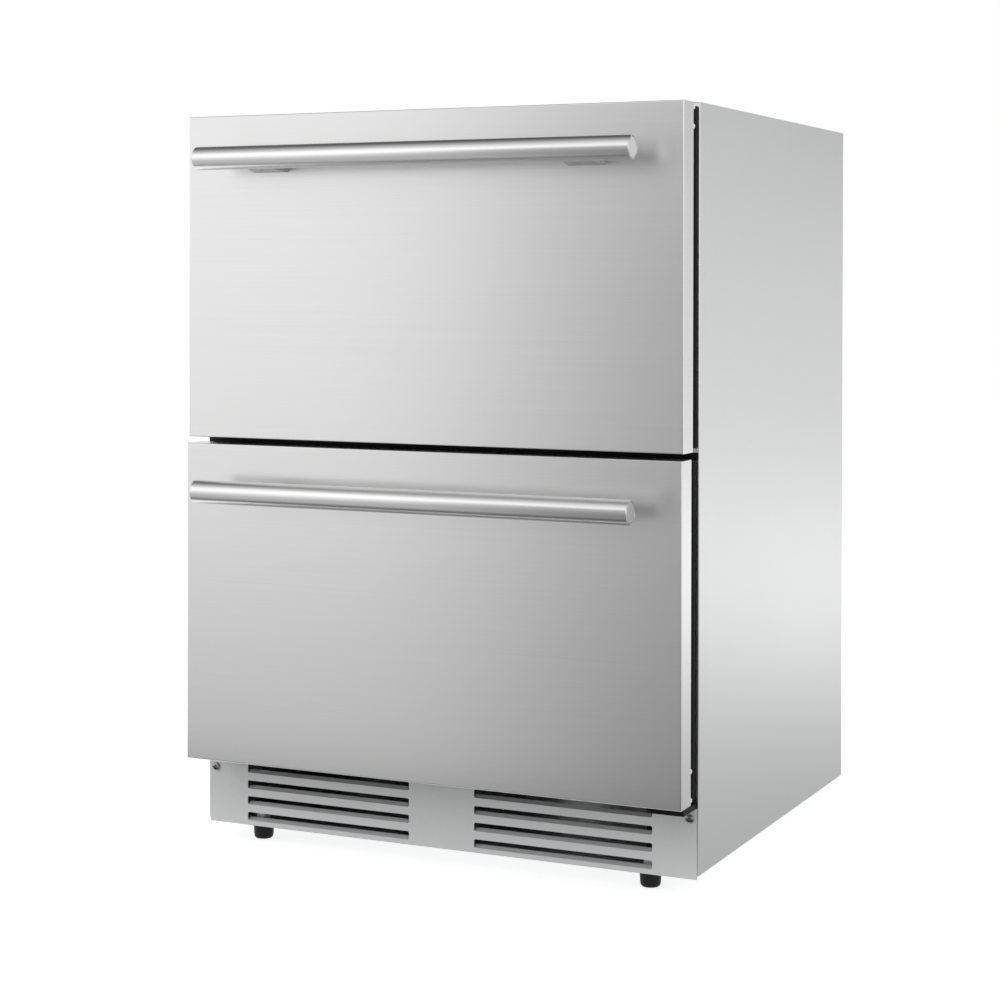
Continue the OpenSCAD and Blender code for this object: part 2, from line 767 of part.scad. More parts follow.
module compressor() color(BLACK) placed() translate([compressor_x, compressor_y, 0]) difference() {
    union() {
        block([-plate_w / 2, -plate_d / 2, shell_z0 - plate_t], [plate_w / 2, plate_d / 2, shell_z0]);
        translate([0, 0, shell_z0]) rotate_extrude($fn = FINE) polygon(concat(
            [[0, 0], [compressor_r - foot_bevel, 0], [compressor_r, foot_bevel], [compressor_r, seam_z],
            [compressor_r + seam_h, seam_z], [compressor_r + seam_h, seam_z + seam_h],
            [compressor_r, seam_z + seam_h]],
            [for (a = [0:10:90]) [crown_r + (compressor_r - crown_r) * cos(a),
                compressor_h - dome_h + dome_h * sin(a)]],
            [[0, compressor_h]]
        ));
        rod_x([-stub_reach, discharge_y - compressor_y, discharge_z], stub_d, stub_reach / 3);
        rod_x([-stub_reach, suction_y - compressor_y, suction_z], stub_d, stub_reach / 3);
    }
    for (x = [-mount_x, mount_x], y = [-mount_y, mount_y])
        rod_z([x, y, shell_z0 - plate_t - CUT], mount_bolt_d + 2 * TOUCH, plate_t + 2 * CUT);
}

// Rubber bushes under the compressor, each with its bolt
module compressor_mounts() color(BLACK) placed() compressor_mount_places() {
    difference() {
        rod_z([0, 0, pan_top], mount_d, mount_h);
        rod_z([0, 0, pan_top - CUT], mount_bolt_d + 2 * TOUCH, mount_h + 2 * CUT);
    }
    rod_z([0, 0, floor_gap], mount_bolt_d, shell_z0 - floor_gap);
    rod_z([0, 0, shell_z0], 2 * mount_bolt_d, mount_bolt_d / 2 + CUT);
}

module condenser_sheet(y, thick, z0)
    block([cond_x[0] - cond_margin, cond_y0 + y, z0],
        [cond_x[1] + cond_margin, cond_y0 + y + thick, cond_top + cond_margin]);

module condenser() color(COPPER) placed() union() {
    for (x = cond_x) {
        for (row = [0:cond_rows - 1])
            rod_y([x, cond_y0, cond_z0 + row * cond_pitch], cond_tube_d, cond_len);
        for (row = [0:cond_rows - 2])
            translate([x, row % 2 == 0 ? cond_y0 : cond_y0 + cond_len, cond_z0 + (row + 0.5) * cond_pitch])
                mirror([0, row % 2 == 0 ? 1 : 0, 0]) rotate([0, 90, 0]) return_bend(cond_pitch, cond_tube_d);
    }
    translate([(cond_x[0] + cond_x[1]) / 2, cond_y0 + cond_len, cond_z0])
        return_bend(cond_x[1] - cond_x[0], cond_tube_d);
    for (i = [0:cond_fins - 1])
        condenser_sheet(cond_fin_inset + i * cond_fin_pitch, cond_fin_t, cond_z0 - cond_margin);
    for (y = [cond_end, cond_len - cond_end - pan_t]) condenser_sheet(y, pan_t, pan_top);
}

// Fan about Z, standing on Z = 0: flat blades set at an angle round a hub
module axial_fan(d, hub_d, depth, shaft_len) {
    cylinder(d = hub_d, h = depth, $fn = FINE);
    rod_z([0, 0, depth - CUT], shaft_d, shaft_len + CUT);
    intersection() {
        cylinder(d = d, h = depth, $fn = FINE);
        for (i = [0:fan_blades - 1]) rotate([0, 0, i * 360 / fan_blades])
            translate([hub_d / 2 - 2, 0, depth / 2]) rotate([fan_pitch, 0, 0])
                translate([0, -depth, -fan_blade_t / 2]) cube([d / 2, 2 * depth, fan_blade_t]);
    }
}

module condenser_fan() color(BLACK) placed()
    translate([fan_x - fan_depth / 2, fan_y, fan_z]) rotate([0, 90, 0])
        axial_fan(cond_fan_d, fan_hub_d, fan_depth, motor_x0 - fan_x1 + motor_h * shaft_reach);

module fan_shroud() color(BLACK) placed() {
    difference() {
        union() {
            block([shroud_x0, fan_y - shroud_half_y, pan_top],
                [shroud_x0 + shroud_t, fan_y + shroud_half_y, fan_z + shroud_half_z]);
            rod_x([shroud_x0, fan_y, fan_z], shroud_bore + 2 * rim_t, motor_x0 - shroud_x0);
        }
        rod_x([shroud_x0 - CUT, fan_y, fan_z], shroud_bore, motor_x0 - shroud_x0 + 2 * CUT);
    }
    difference() {
        intersection() {
            union() {
                block([arm_x0, fan_y - cond_fan_d, fan_z - arm_w / 2],
                    [motor_x0, fan_y + cond_fan_d, fan_z + arm_w / 2]);
                block([arm_x0, fan_y - arm_w / 2, fan_z - cond_fan_d],
                    [motor_x0, fan_y + arm_w / 2, fan_z + cond_fan_d]);
                rod_x([arm_x0, fan_y, fan_z], motor_d, arm_t);
            }
            rod_x([arm_x0 - CUT, fan_y, fan_z], shroud_bore + rim_t, arm_t + 2 * CUT);
        }
        rod_x([arm_x0 - CUT, fan_y, fan_z], 2 * shaft_d, arm_t + 2 * CUT);
    }
}

module condenser_fan_motor() color(GALVANISED) placed() difference() {
    rod_x([motor_x0, fan_y, fan_z], motor_d, motor_h);
    rod_x([motor_x0 - CUT, fan_y, fan_z], shaft_d + 2 * RUN, motor_h * motor_bore + CUT);
}

module filter_drier() color(COPPER) placed() union() {
    rod_y([drier_x, drier_y0 + drier_cone, drier_z], drier_d, drier_len - 2 * drier_cone);
    for (end = [0, 1]) translate([drier_x, drier_y0 + end * drier_len, drier_z])
        rotate([end == 0 ? -90 : 90, 0, 0]) cylinder(d1 = line_d + 1, d2 = drier_d, h = drier_cone);
}

module refrigerant_lines() color(COPPER) placed() {
    tube_run(discharge_path, line_d);
    tube_run(liquid_path, line_d);
    tube_run(suction_path, line_d);
    tube_run(capillary_path, capillary_d);
}

// Tray on top of the compressor, where melt water dries up
module drain_pan() color(WHITE) placed() {
    difference() {
        block([compressor_x - tray_half_x, tray_y0, tray_z0],
            [compressor_x + tray_half_x, tray_y1, tray_z0 + tray_h]);
        block([compressor_x - tray_half_x + tray_t, tray_y0 + tray_t, tray_z0 + tray_t],
            [compressor_x + tray_half_x - tray_t, tray_y1 - tray_t, tray_z0 + tray_h + CUT]);
    }
    rod_z([compressor_x, compressor_y, compressor_top], tray_boss_d, tray_z0 - compressor_top);
}

module drain_tube() color(BLACK) placed() difference() {
    rod_z([drip_x, drip_y, drip_z0], drip_d, hump_z - drip_z0);
    rod_z([drip_x, drip_y, tray_z0], drip_bore, hump_z);
}

module control_box() color(WHITE) placed()
    translate([box_x0, mach_y0 + sheet, mach_top - box_h - 10]) cube([box_w, box_d, box_h]);

// ---------- cold side ----------

module evaporator_sheet(x, thick, y1)
    block([x, evap_fin_y, evap_z0 - evap_margin], [x + thick, y1, evap_top + evap_margin]);

module evaporator() color(GALVANISED) placed() union() {
    for (row = [0:evap_rows - 1])
        rod_x([-evap_half, evap_y, evap_z0 + row * evap_pitch], cond_tube_d, 2 * evap_half);
    for (row = [0:evap_rows - 2]) mirror([row % 2, 0, 0])
        translate([evap_half, evap_y, evap_z0 + (row + 0.5) * evap_pitch])
            rotate([0, -90, -90]) return_bend(evap_pitch, cond_tube_d);
    for (i = [0:evap_fins - 1])
        evaporator_sheet(-evap_half + evap_fin_inset + i * evap_fin_pitch, evap_fin_t, evap_fin_y1);
    for (x = [-evap_half + cond_end, evap_half - cond_end - pan_t]) evaporator_sheet(x, pan_t, cavity_y1);
}

// Cover across the rear of the cold space: air enters at the fan and leaves by the slots above
module evaporator_cover() color(WHITE) placed() difference() {
    wide_block(cavity_x - TOUCH, [evap_cover_y, evap_cover_y + evap_cover_t],
        [hump_z + TOUCH, cavity_z1 - TOUCH]);
    translate([0, evap_cover_y + evap_cover_t + CUT, evap_fan_z]) rotate([90, 0, 0])
        linear_extrude(evap_cover_t + 2 * CUT) intersection() {
            circle(d = evap_fan_d + 2 * fan_gap, $fn = FINE);
            for (z = [-evap_fan_d:guard_pitch:evap_fan_d])
                translate([-evap_fan_d, z + guard_bar / 2])
                    square([2 * evap_fan_d, guard_pitch - guard_bar]);
        }
    for (side = [0, 1], row = [0:outlet_rows - 1]) mirror([side, 0, 0])
        translate([outlet_x, evap_cover_y + evap_cover_t + CUT, cavity_z1 - outlet_drop + row * vent_pitch])
            rotate([90, 0, 0]) linear_extrude(evap_cover_t + 2 * CUT) round_rect(outlet_w, vent_h, slot_r);
}

module evaporator_fan() color(WHITE) placed()
    translate([0, evap_fan_y, evap_fan_z]) rotate([-90, 0, 0])
        axial_fan(evap_fan_d, fan_hub_d, evap_fan_depth, evap_motor_gap + evap_motor_len * shaft_reach);

module evaporator_fan_motor() color(BLACK) placed() difference() {
    rod_y([0, cavity_y1 - evap_motor_len, evap_fan_z], evap_motor_d, evap_motor_len);
    rod_y([0, cavity_y1 - evap_motor_len - CUT, evap_fan_z],
        shaft_d + 2 * RUN, evap_motor_len * motor_bore + CUT);
}

module led_lamp() color(CLEAR) placed()
    wide_block(lamp_half, [lamp_y0, lamp_y0 + lamp_d], [cavity_z1 - lamp_t, cavity_z1]);

module control_panel() color(BLACK) placed()
    wide_block(panel_half, [panel_y0, panel_y0 + panel_d], [cavity_z1 - panel_t, cavity_z1]);

// ---------- slides ----------

// Both slides of a drawer: children are drawn at the right and mirrored to the left
module both_sides() for (side = [0, 1]) mirror([side, 0, 0]) children();

// Channel whose web faces the tub or the wall, with its two lips
module slide_channel(web_x, lip_x, half_h, z) {
    low_x = min(web_x, lip_x);
    high_x = max(web_x, lip_x);
    web_low = web_x < lip_x ? web_x : web_x - slide_steel;
    block([web_low, slide_y0, z - half_h], [web_low + slide_steel, slide_y0 + slide_len, z + half_h]);
    for (lip_z = [z - half_h, z + half_h - slide_steel])
        block([low_x, slide_y0, lip_z], [high_x, slide_y0 + slide_len, lip_z + slide_steel]);
}

module outer_slides(z) both_sides()
    slide_channel(cavity_x, cavity_x - outer_lip, slide_h / 2, z);

module upper_outer_slides() color(STEEL) placed() outer_slides(upper_slide_z);

module lower_outer_slides() color(STEEL) placed() outer_slides(lower_slide_z);

// The middle member runs on beads between the outer and the inner member
module middle_slides(z) both_sides() {
    slide_channel(cavity_x - middle_x, cavity_x - middle_x - middle_lip, middle_half_h, z);
    for (up = [0, 1]) translate([0, 0, z]) mirror([0, 0, up]) {
        block([outer_bead_x, slide_y0, middle_half_h - slide_steel / 2],
            [outer_bead_x + bead_w, slide_y0 + slide_len, slide_h / 2 - slide_steel - track_gap]);
        block([inner_bead_x, slide_y0, inner_half_h + track_gap],
            [inner_bead_x + bead_w, slide_y0 + slide_len, middle_half_h - slide_steel / 2]);
    }
}

module upper_middle_slides() color(STEEL) placed() middle_slides(upper_slide_z);

module lower_middle_slides() color(STEEL) placed() translate([0, -ajar / 2, 0]) middle_slides(lower_slide_z);

module inner_slides(z) both_sides()
    slide_channel(tub_x, tub_x + inner_lip, inner_half_h, z);

module upper_inner_slides() color(STEEL) placed() inner_slides(upper_slide_z);

module lower_inner_slides() color(STEEL) placed() translate([0, -ajar, 0]) inner_slides(lower_slide_z);

// ---------- drawer fronts, drawn closed and standing on Z = 0 ----------

module on_upper() placed() translate([0, 0, upper_front_z0]) children();

module on_lower() placed() translate([0, -ajar, lower_front_z0]) children();

// Block whose front edges are rounded, with its front in the plane Y = 0
module folded_block(w, h, d, r) intersection() {
    linear_extrude(h) {
        translate([-w / 2, r]) square([w, d - r]);
        translate([-w / 2 + r, 0]) square([w - 2 * r, d]);
        for (x = [-w / 2 + r, w / 2 - r]) translate([x, r]) circle(r, $fn = COARSE);
    }
    along_x(w / 2) {
        translate([r, 0]) square([d - r, h]);
        translate([0, r]) square([d, h - 2 * r]);
        for (z = [r, h - r]) translate([r, z]) circle(r, $fn = COARSE);
    }
}

// Folded steel pan, open at the rear
module front_pan(h) difference() {
    translate([0, face_y, 0]) folded_block(front_w, h, front_t, fold_r);
    wide_block(front_half - front_steel, [face_y + front_steel, CUT], [front_steel, h - front_steel]);
    for (side = [-1, 1])
        rod_y([side * post_x, face_y - CUT, h - bar_drop + bolt_z],
            bolt_d + 2 * TOUCH, front_steel + 2 * CUT);
}

module upper_front() color(FRONT_STEEL) on_upper() front_pan(upper_front_h);

module lower_front() color(FRONT_STEEL) on_lower() front_pan(lower_front_h);

// Room behind the raised field of the inner cover
module cover_field(h, inset, y)
    wide_block(front_half - cover_margin_x - inset, y, [cover_margin_z + inset, h - cover_margin_z - inset]);

module front_foam(h) {
    difference() {
        wide_block(front_half - front_steel, [face_y + front_steel, -seal_t - cover_t],
            [front_steel, h - front_steel]);
        for (side = [-1, 1])
            rod_y([side * post_x, face_y, h - bar_drop + bolt_z],
                bolt_head_d + 2 * TOUCH, front_steel + bolt_head_h + TOUCH);
    }
    cover_field(h, cover_t, [-seal_t - cover_t, -seal_t + cover_rise - cover_t]);
}

module upper_front_foam() color(FOAM) on_upper() front_foam(upper_front_h);

module lower_front_foam() color(FOAM) on_lower() front_foam(lower_front_h);

// Moulded cover on the inside of a front, with the raised field that the tub is fixed to
module front_cover(h) difference() {
    union() {
        wide_block(front_half - front_steel, [-seal_t - cover_t, -seal_t], [front_steel, h - front_steel]);
        cover_field(h, 0, [-seal_t - cover_t, -seal_t + cover_rise]);
    }
    cover_field(h, cover_t, [-seal_t - cover_t - CUT, -seal_t + cover_rise - cover_t]);
}

module upper_front_liner() color(WHITE) on_upper() front_cover(upper_front_h);

module lower_front_liner() color(WHITE) on_lower() front_cover(lower_front_h);

// One layer of the seal: a flat ring that is narrower by a margin on both of its edges
module seal_layer(h, y, margin) difference() {
    wide_block(front_half - seal_inset_x - margin, y,
        [seal_inset_z + margin, h - seal_inset_z - margin]);
    wide_block(front_half - seal_inset_x - seal_w + margin, [y[0] - CUT, y[1] + CUT],
        [seal_inset_z + seal_w - margin, h - seal_inset_z - seal_w + margin]);
}

// Magnetic seal: a broad foot, a soft waist and the broad magnet strip
module front_seal(h) {
    seal_layer(h, [-seal_t, -seal_t + seal_foot_t], 0);
    seal_layer(h, [-seal_t + seal_foot_t, -seal_head_t], seal_waist_in);
    seal_layer(h, [-seal_head_t, -seal_rest], 0);
}

module upper_seal() color(BLACK) on_upper() front_seal(upper_front_h);

module lower_seal() color(BLACK) on_lower() front_seal(lower_front_h);

module seal_screws(heights) both_sides() for (z = heights)
    rod_x([front_half - seal_inset_x, -seal_t + seal_foot_t / 2, z], seal_screw_d, seal_screw_h);

module upper_seal_screws() color(STEEL) on_upper() seal_screws(upper_seal_screws_z);

module lower_seal_screws() color(STEEL) on_lower() seal_screws(lower_seal_screws_z);

// ---------- handles ----------

module handle_bar(h) translate([0, bar_y, h - bar_drop]) {
    rod_x([-bar_len / 2 + bar_chamfer, 0, 0], bar_d, bar_len - 2 * bar_chamfer, $fn = FINE);
    both_sides() translate([bar_len / 2 - bar_chamfer, 0, 0]) rotate([0, 90, 0])
        cylinder(d1 = bar_d, d2 = bar_d - 2 * bar_chamfer, h = bar_chamfer, $fn = FINE);
}

module upper_bar() color(FRONT_STEEL) on_upper() handle_bar(upper_front_h);

module lower_bar() color(FRONT_STEEL) on_lower() handle_bar(lower_front_h);

// Post from the face of a front to the bar, narrower at the bar
module bar_post() difference() {
    intersection() {
        translate([0, 0, -post_down]) linear_extrude(post_down + post_up) polygon([
            [-post_w / 2, 0], [post_w / 2, 0], [post_tip_w / 2, -bar_reach], [-post_tip_w / 2, -bar_reach]
        ]);
        along_x(post_w / 2) polygon([
            [0, -post_down], [0, post_up],
            [-bar_reach, post_up * post_tip_up], [-bar_reach, -post_down * post_tip_down]
        ]);
    }
    rod_x([-post_w, -bar_reach, 0], bar_d + TOUCH, 2 * post_w, $fn = FINE);
    rod_y([0, -bolt_len - CUT, bolt_z], bolt_d + TOUCH, bolt_len + 2 * CUT);
    rod_z([-set_screw_x, -set_screw_y, -post_down - CUT], set_screw_d, post_down / 2 + CUT);
}

module bar_posts(h) for (x = [-post_x, post_x]) translate([x, face_y, h - bar_drop]) bar_post();

module upper_bar_posts() color(STEEL) on_upper() bar_posts(upper_front_h);

module lower_bar_posts() color(STEEL) on_lower() bar_posts(lower_front_h);

module bar_screws(h) for (x = [-post_x, post_x])
    translate([x, face_y + front_steel, h - bar_drop + bolt_z]) {
        rod_y([0, 0, 0], bolt_head_d, bolt_head_h);
        rod_y([0, front_steel - bolt_len, 0], bolt_d, bolt_len);
    }

module upper_bar_screws() color(STEEL) on_upper() bar_screws(upper_front_h);

module lower_bar_screws() color(STEEL) on_lower() bar_screws(lower_front_h);

// ---------- tubs ----------

// Rims along the sides of a tub
module tub_rims(z1) both_sides()
    block([tub_x - tub_t, tub_y0, z1 - tub_t], [tub_x + rim_w, tub_y1, z1]);

module upper_tub() color(WHITE) placed() {
    difference() {
        wide_block(tub_x, [tub_y0, tub_y1], [upper_tub_z0, upper_tub_z1]);
        wide_block(tub_x - tub_t, [tub_y0 + tub_t, tub_y1 - tub_t],
            [upper_tub_z0 + tub_t, upper_tub_z1 + CUT]);
    }
    tub_rims(upper_tub_z1);
}

// Outline of the lower tub from the side: shallow at the rear, over the step in the liner
module lower_tub_outline(inset, z1) polygon([
    [tub_y0 + inset, lower_tub_z0 + inset], [tub_step_y - inset, lower_tub_z0 + inset],
    [tub_step_y - inset, tub_step_z + inset], [tub_y1 - inset, tub_step_z + inset],
    [tub_y1 - inset, z1], [tub_y0 + inset, z1]
]);

module lower_tub() color(WHITE) placed() translate([0, -ajar, 0]) {
    difference() {
        along_x(tub_x) lower_tub_outline(0, lower_tub_z1);
        along_x(tub_x - tub_t) lower_tub_outline(tub_t, lower_tub_z1 + CUT);
    }
    tub_rims(lower_tub_z1);
}

// ---------- feet ----------

// Levelling foot: a stud with a tapered pad, screwed into a nut of the base
module foot(i) translate([foot_places[i][0], foot_places[i][1], 0]) {
    cylinder(d = foot_tip_d, h = pad_tip_h);
    translate([0, 0, pad_tip_h]) cylinder(d1 = foot_tip_d, d2 = foot_d, h = pad_taper_h);
    rod_z([0, 0, pad_tip_h + pad_taper_h], foot_d, pad_top - pad_tip_h - pad_taper_h);
    rod_z([0, 0, pad_top], stud_d, pan_top + stud_len - pad_top);
}

module front_left_foot() color(BLACK) placed() foot(0);

module rear_left_foot() color(BLACK) placed() foot(1);

module front_right_foot() color(BLACK) placed() foot(2);

module rear_right_foot() color(BLACK) placed() foot(3);

side_panel_left();
side_panel_right();
top_panel();
back_panel();
base_pan();
step_plate();
cabinet_foam();
cabinet_liner();
breaker_frame();
mullion_bar();
kick_grille();
panel_screws();
corner_bracket();
rear_grille();
compressor();
compressor_mounts();
condenser();
fan_shroud();
condenser_fan_motor();
filter_drier();
refrigerant_lines();
drain_pan();
drain_tube();
evaporator();
evaporator_cover();
evaporator_fan_motor();
control_panel();
control_box();
led_lamp();
cord_gland();
upper_outer_slides();
lower_outer_slides();
upper_front();
upper_front_foam();
upper_front_liner();
upper_seal();
upper_seal_screws();
upper_bar();
upper_bar_posts();
upper_bar_screws();
upper_tub();
upper_inner_slides();
lower_front();
lower_front_foam();
lower_front_liner();
lower_seal();
lower_seal_screws();
lower_bar();
lower_bar_posts();
lower_bar_screws();
lower_tub();
lower_inner_slides();
upper_middle_slides();
lower_middle_slides();
condenser_fan();
evaporator_fan();
front_left_foot();
front_right_foot();
rear_left_foot();
rear_right_foot();
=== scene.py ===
import json
import math

import bmesh
import bpy
from mathutils import Matrix, Vector


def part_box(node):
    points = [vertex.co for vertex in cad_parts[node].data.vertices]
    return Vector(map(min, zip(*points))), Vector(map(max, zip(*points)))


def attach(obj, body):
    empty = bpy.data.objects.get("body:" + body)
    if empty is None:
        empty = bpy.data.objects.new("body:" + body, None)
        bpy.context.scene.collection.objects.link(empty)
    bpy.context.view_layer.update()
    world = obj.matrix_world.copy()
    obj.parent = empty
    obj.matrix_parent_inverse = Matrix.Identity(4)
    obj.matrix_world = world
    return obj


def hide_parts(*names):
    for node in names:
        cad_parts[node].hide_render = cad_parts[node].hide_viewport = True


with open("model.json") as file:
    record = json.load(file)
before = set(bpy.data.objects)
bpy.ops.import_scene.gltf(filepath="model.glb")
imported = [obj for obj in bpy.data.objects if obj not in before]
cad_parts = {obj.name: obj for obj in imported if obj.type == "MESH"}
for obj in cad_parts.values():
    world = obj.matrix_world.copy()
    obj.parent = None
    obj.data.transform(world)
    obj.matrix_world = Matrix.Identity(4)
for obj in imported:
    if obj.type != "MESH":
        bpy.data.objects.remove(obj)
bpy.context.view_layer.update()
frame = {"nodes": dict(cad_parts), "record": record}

MM = 0.001
nodes = frame["nodes"]


# ---------- finishes ----------

NOISE_LOW, NOISE_HIGH = 0.3, 0.7
EVEN = (1, 1, 1)


def add_node(tree, kind, inputs=None, **settings):
    """A node of a material with its settings and its unlinked inputs."""
    made = tree.nodes.new(kind)
    for name, value in settings.items():
        setattr(made, name, value)
    for name, value in (inputs or {}).items():
        made.inputs[name].default_value = value
    return made


def link(tree, *pairs):
    """Joins outputs to inputs, given as pairs."""
    for source, target in pairs:
        tree.links.new(source, target)


def surface_noise(tree, stretch, scale, detail, roughness=0.55):
    """Noise on the piece's own coordinates, drawn out by stretch along X, Y and Z."""
    place = add_node(tree, "ShaderNodeTexCoord")
    mapping = add_node(tree, "ShaderNodeMapping", {"Scale": stretch})
    noise = add_node(tree, "ShaderNodeTexNoise", {"Scale": scale, "Detail": detail, "Roughness": roughness})
    link(tree, (place.outputs["Object"], mapping.inputs["Vector"]),
         (mapping.outputs["Vector"], noise.inputs["Vector"]))
    return noise.outputs["Fac"]


def spread(tree, source, low, high):
    """Source's middle range carried over to low..high."""
    carry = add_node(tree, "ShaderNodeMapRange", {
        "From Min": NOISE_LOW, "From Max": NOISE_HIGH, "To Min": low, "To Max": high
    })
    link(tree, (source, carry.inputs["Value"]))
    return carry.outputs["Result"]


def blend_colours(tree, source, dark, light):
    """Colour between dark and light, as source goes through its middle range."""
    ramp = add_node(tree, "ShaderNodeValToRGB")
    for stop, place, colour in zip(ramp.color_ramp.elements, (NOISE_LOW, NOISE_HIGH), (dark, light)):
        stop.position = place
        stop.color = (*colour, 1)
    link(tree, (source, ramp.inputs["Fac"]))
    return ramp.outputs["Color"]


def relief(tree, source, height):
    """Bump from source, height in metres."""
    bump = add_node(tree, "ShaderNodeBump", {"Distance": height, "Strength": 1.0})
    link(tree, (source, bump.inputs["Height"]))
    return bump.outputs["Normal"]


def make_finish(name, metallic, fine, broad, speckled, shades, gloss, depth, **sockets):
    """Material of a fine and a broad noise. The fine one is its relief. It is also its colour where
    speckled, and then the broad one is its roughness, or else the other way round. What is the same
    all over the surface is set on the shader's sockets."""
    finish = bpy.data.materials.new(name)
    finish.use_nodes = True
    tree = finish.node_tree
    shader = tree.nodes["Principled BSDF"]
    shader.inputs["Metallic"].default_value = metallic
    for socket, value in sockets.items():
        shader.inputs[socket.replace("_", " ")].default_value = value
    small = surface_noise(tree, *fine)
    large = surface_noise(tree, *broad)
    tint, sheen = (small, large) if speckled else (large, small)
    link(tree, (blend_colours(tree, tint, *shades), shader.inputs["Base Color"]),
         (spread(tree, sheen, *gloss), shader.inputs["Roughness"]),
         (relief(tree, small, depth), shader.inputs["Normal"]))
    return finish


def brushed_steel(name, along, shades, gloss, depth):
    """Steel brushed in one direction: along is the stretch that keeps the streaks long."""
    streaks, hazes = (along, 1.0, 4.0, 0.7), (EVEN, 3.0, 1.0)
    return make_finish(name, 1.0, streaks, hazes, True, shades, gloss, depth)


def satin_metal(name, shades, gloss, speck, depth, metallic, **sockets):
    """Sheet with a fine even speckle and broad faint clouds."""
    speckle, hazes = (EVEN, speck, 2.0), (EVEN, 2.2, 2.0)
    return make_finish(name, metallic, speckle, hazes, True, shades, gloss, depth, **sockets)


def moulded(name, shades, gloss, grain, depth, **sockets):
    """Moulded plastic or rubber with a fine grain in its surface."""
    grains, clouds = (EVEN, grain, 2.0), (EVEN, 9.0, 2.0)
    return make_finish(name, 0.0, grains, clouds, False, shades, gloss, depth, **sockets)


def greys(dark, light):
    """Two shades without a tint."""
    return (dark,) * 3, (light,) * 3


FINISHES = {
    "front_steel": brushed_steel(
        "front_brushed_steel", (3, 3, 2600), ((0.83, 0.835, 0.83), (0.89, 0.893, 0.886)),
        (0.29, 0.31), 0.000002
    ),
    "bar_steel": brushed_steel("bar_satin_steel", (4, 2200, 2200), greys(0.75, 0.83), (0.31, 0.33), 0.000002),
    "post_steel": satin_metal("post_satin_steel", greys(0.44, 0.52), (0.28, 0.36), 900, 0.00001, 1.0),
    "side_steel": satin_metal(
        "side_satin_steel", ((0.775, 0.78, 0.78), (0.845, 0.85, 0.85)), (0.34, 0.38), 700, 0.000005, 1.0
    ),
    "zinc_steel": satin_metal(
        "zinc_coated_steel", ((0.46, 0.48, 0.50), (0.60, 0.62, 0.64)), (0.35, 0.5), 60, 0.00001, 0.9
    ),
    "slide_steel": satin_metal(
        "slide_zinc_steel", ((0.60, 0.62, 0.64), (0.72, 0.74, 0.76)), (0.22, 0.34), 120, 0.00001, 1.0
    ),
    "screw_steel": satin_metal(
        "screw_bright_steel", ((0.34, 0.34, 0.33), (0.46, 0.46, 0.45)), (0.16, 0.26), 400, 0.00001, 1.0
    ),
    "grille_paint": satin_metal(
        "grille_speckled_paint", ((0.60, 0.605, 0.61), (0.69, 0.695, 0.70)), (0.42, 0.52), 1600, 0.00003, 0.25
    ),
    "black_paint": satin_metal(
        "black_lacquer", ((0.005, 0.005, 0.006), (0.010, 0.010, 0.011)), (0.35, 0.5), 500, 0.00002, 0.0,
        Specular_IOR_Level=0.15
    ),
    "black_plastic": moulded(
        "black_moulded_plastic", ((0.006, 0.006, 0.007), (0.012, 0.012, 0.013)), (0.42, 0.55), 1400, 0.00002,
        Specular_IOR_Level=0.2
    ),
    "seal_screw_coat": moulded("seal_screw_white_coat", greys(0.80, 0.88), (0.25, 0.35), 900, 0.00001),
    "white_plastic": moulded(
        "white_moulded_plastic", ((0.76, 0.77, 0.76), (0.82, 0.825, 0.82)), (0.28, 0.36), 900, 0.00001
    ),
    "seal_rubber": moulded(
        "seal_soft_rubber", ((0.010, 0.010, 0.011), (0.018, 0.018, 0.019)), (0.65, 0.8), 1800, 0.00002,
        Specular_IOR_Level=0.2
    ),
    "foam": moulded("insulation_foam", ((0.72, 0.60, 0.34), (0.80, 0.70, 0.45)), (0.8, 0.95), 300, 0.0002),
    "copper": satin_metal(
        "bare_copper", ((0.62, 0.30, 0.17), (0.78, 0.42, 0.27)), (0.22, 0.4), 70, 0.00001, 1.0
    ),
    "coil_aluminium": satin_metal(
        "bare_aluminium", ((0.62, 0.63, 0.64), (0.78, 0.79, 0.80)), (0.26, 0.4), 200, 0.00001, 1.0
    ),
    "lamp_diode": moulded(
        "lamp_diode_phosphor", ((0.80, 0.72, 0.40), (0.86, 0.80, 0.52)), (0.3, 0.4), 600, 0.00001
    ),
    "clear_plastic": moulded(
        "clear_lamp_cover", ((0.86, 0.92, 0.94), (0.92, 0.96, 0.97)), (0.06, 0.12), 800, 0.000005,
        Transmission_Weight=0.9, IOR=1.49
    ),
}


def wear(obj, finish):
    """Gives a piece or a CAD node its only material."""
    obj.data.materials.clear()
    obj.data.materials.append(FINISHES[finish])


for part in frame["record"]["subparts"]:
    wear(nodes[part["node"]], part["material_slot"])
for name in ("upper_bar", "lower_bar"):
    wear(nodes[name], "bar_steel")


# ---------- mesh tools ----------

MERGE = 0.005 * MM


def box_size(node):
    """Low corner, high corner and middle of a CAD node's box."""
    low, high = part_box(node)
    return low, high, (low + high) / 2


def lying_along(axis, node):
    """Place of a CAD node's start, its length and its radius: the node lies along the axis, X or Y,
    and length and radius are in millimetres."""
    low, high, start = box_size(node)
    index = axis.index(1)
    start[index] = low[index]
    return turned_to(axis, start), (high - low)[index] / MM, (high.z - low.z) / 2 / MM


def verts_in(geom):
    return [v for v in geom if isinstance(v, bmesh.types.BMVert)]


def edges_in(geom):
    return [e for e in geom if isinstance(e, bmesh.types.BMEdge)]


def newer(bm, older):
    """Points added since older was noted."""
    return [v for v in bm.verts if v not in older]


def turned_to(axis, at=(0, 0, 0)):
    """Matrix that puts Z along an axis and the origin at a point."""
    return Matrix.Translation(at) @ Vector(axis).to_track_quat("Z", "Y").to_matrix().to_4x4()


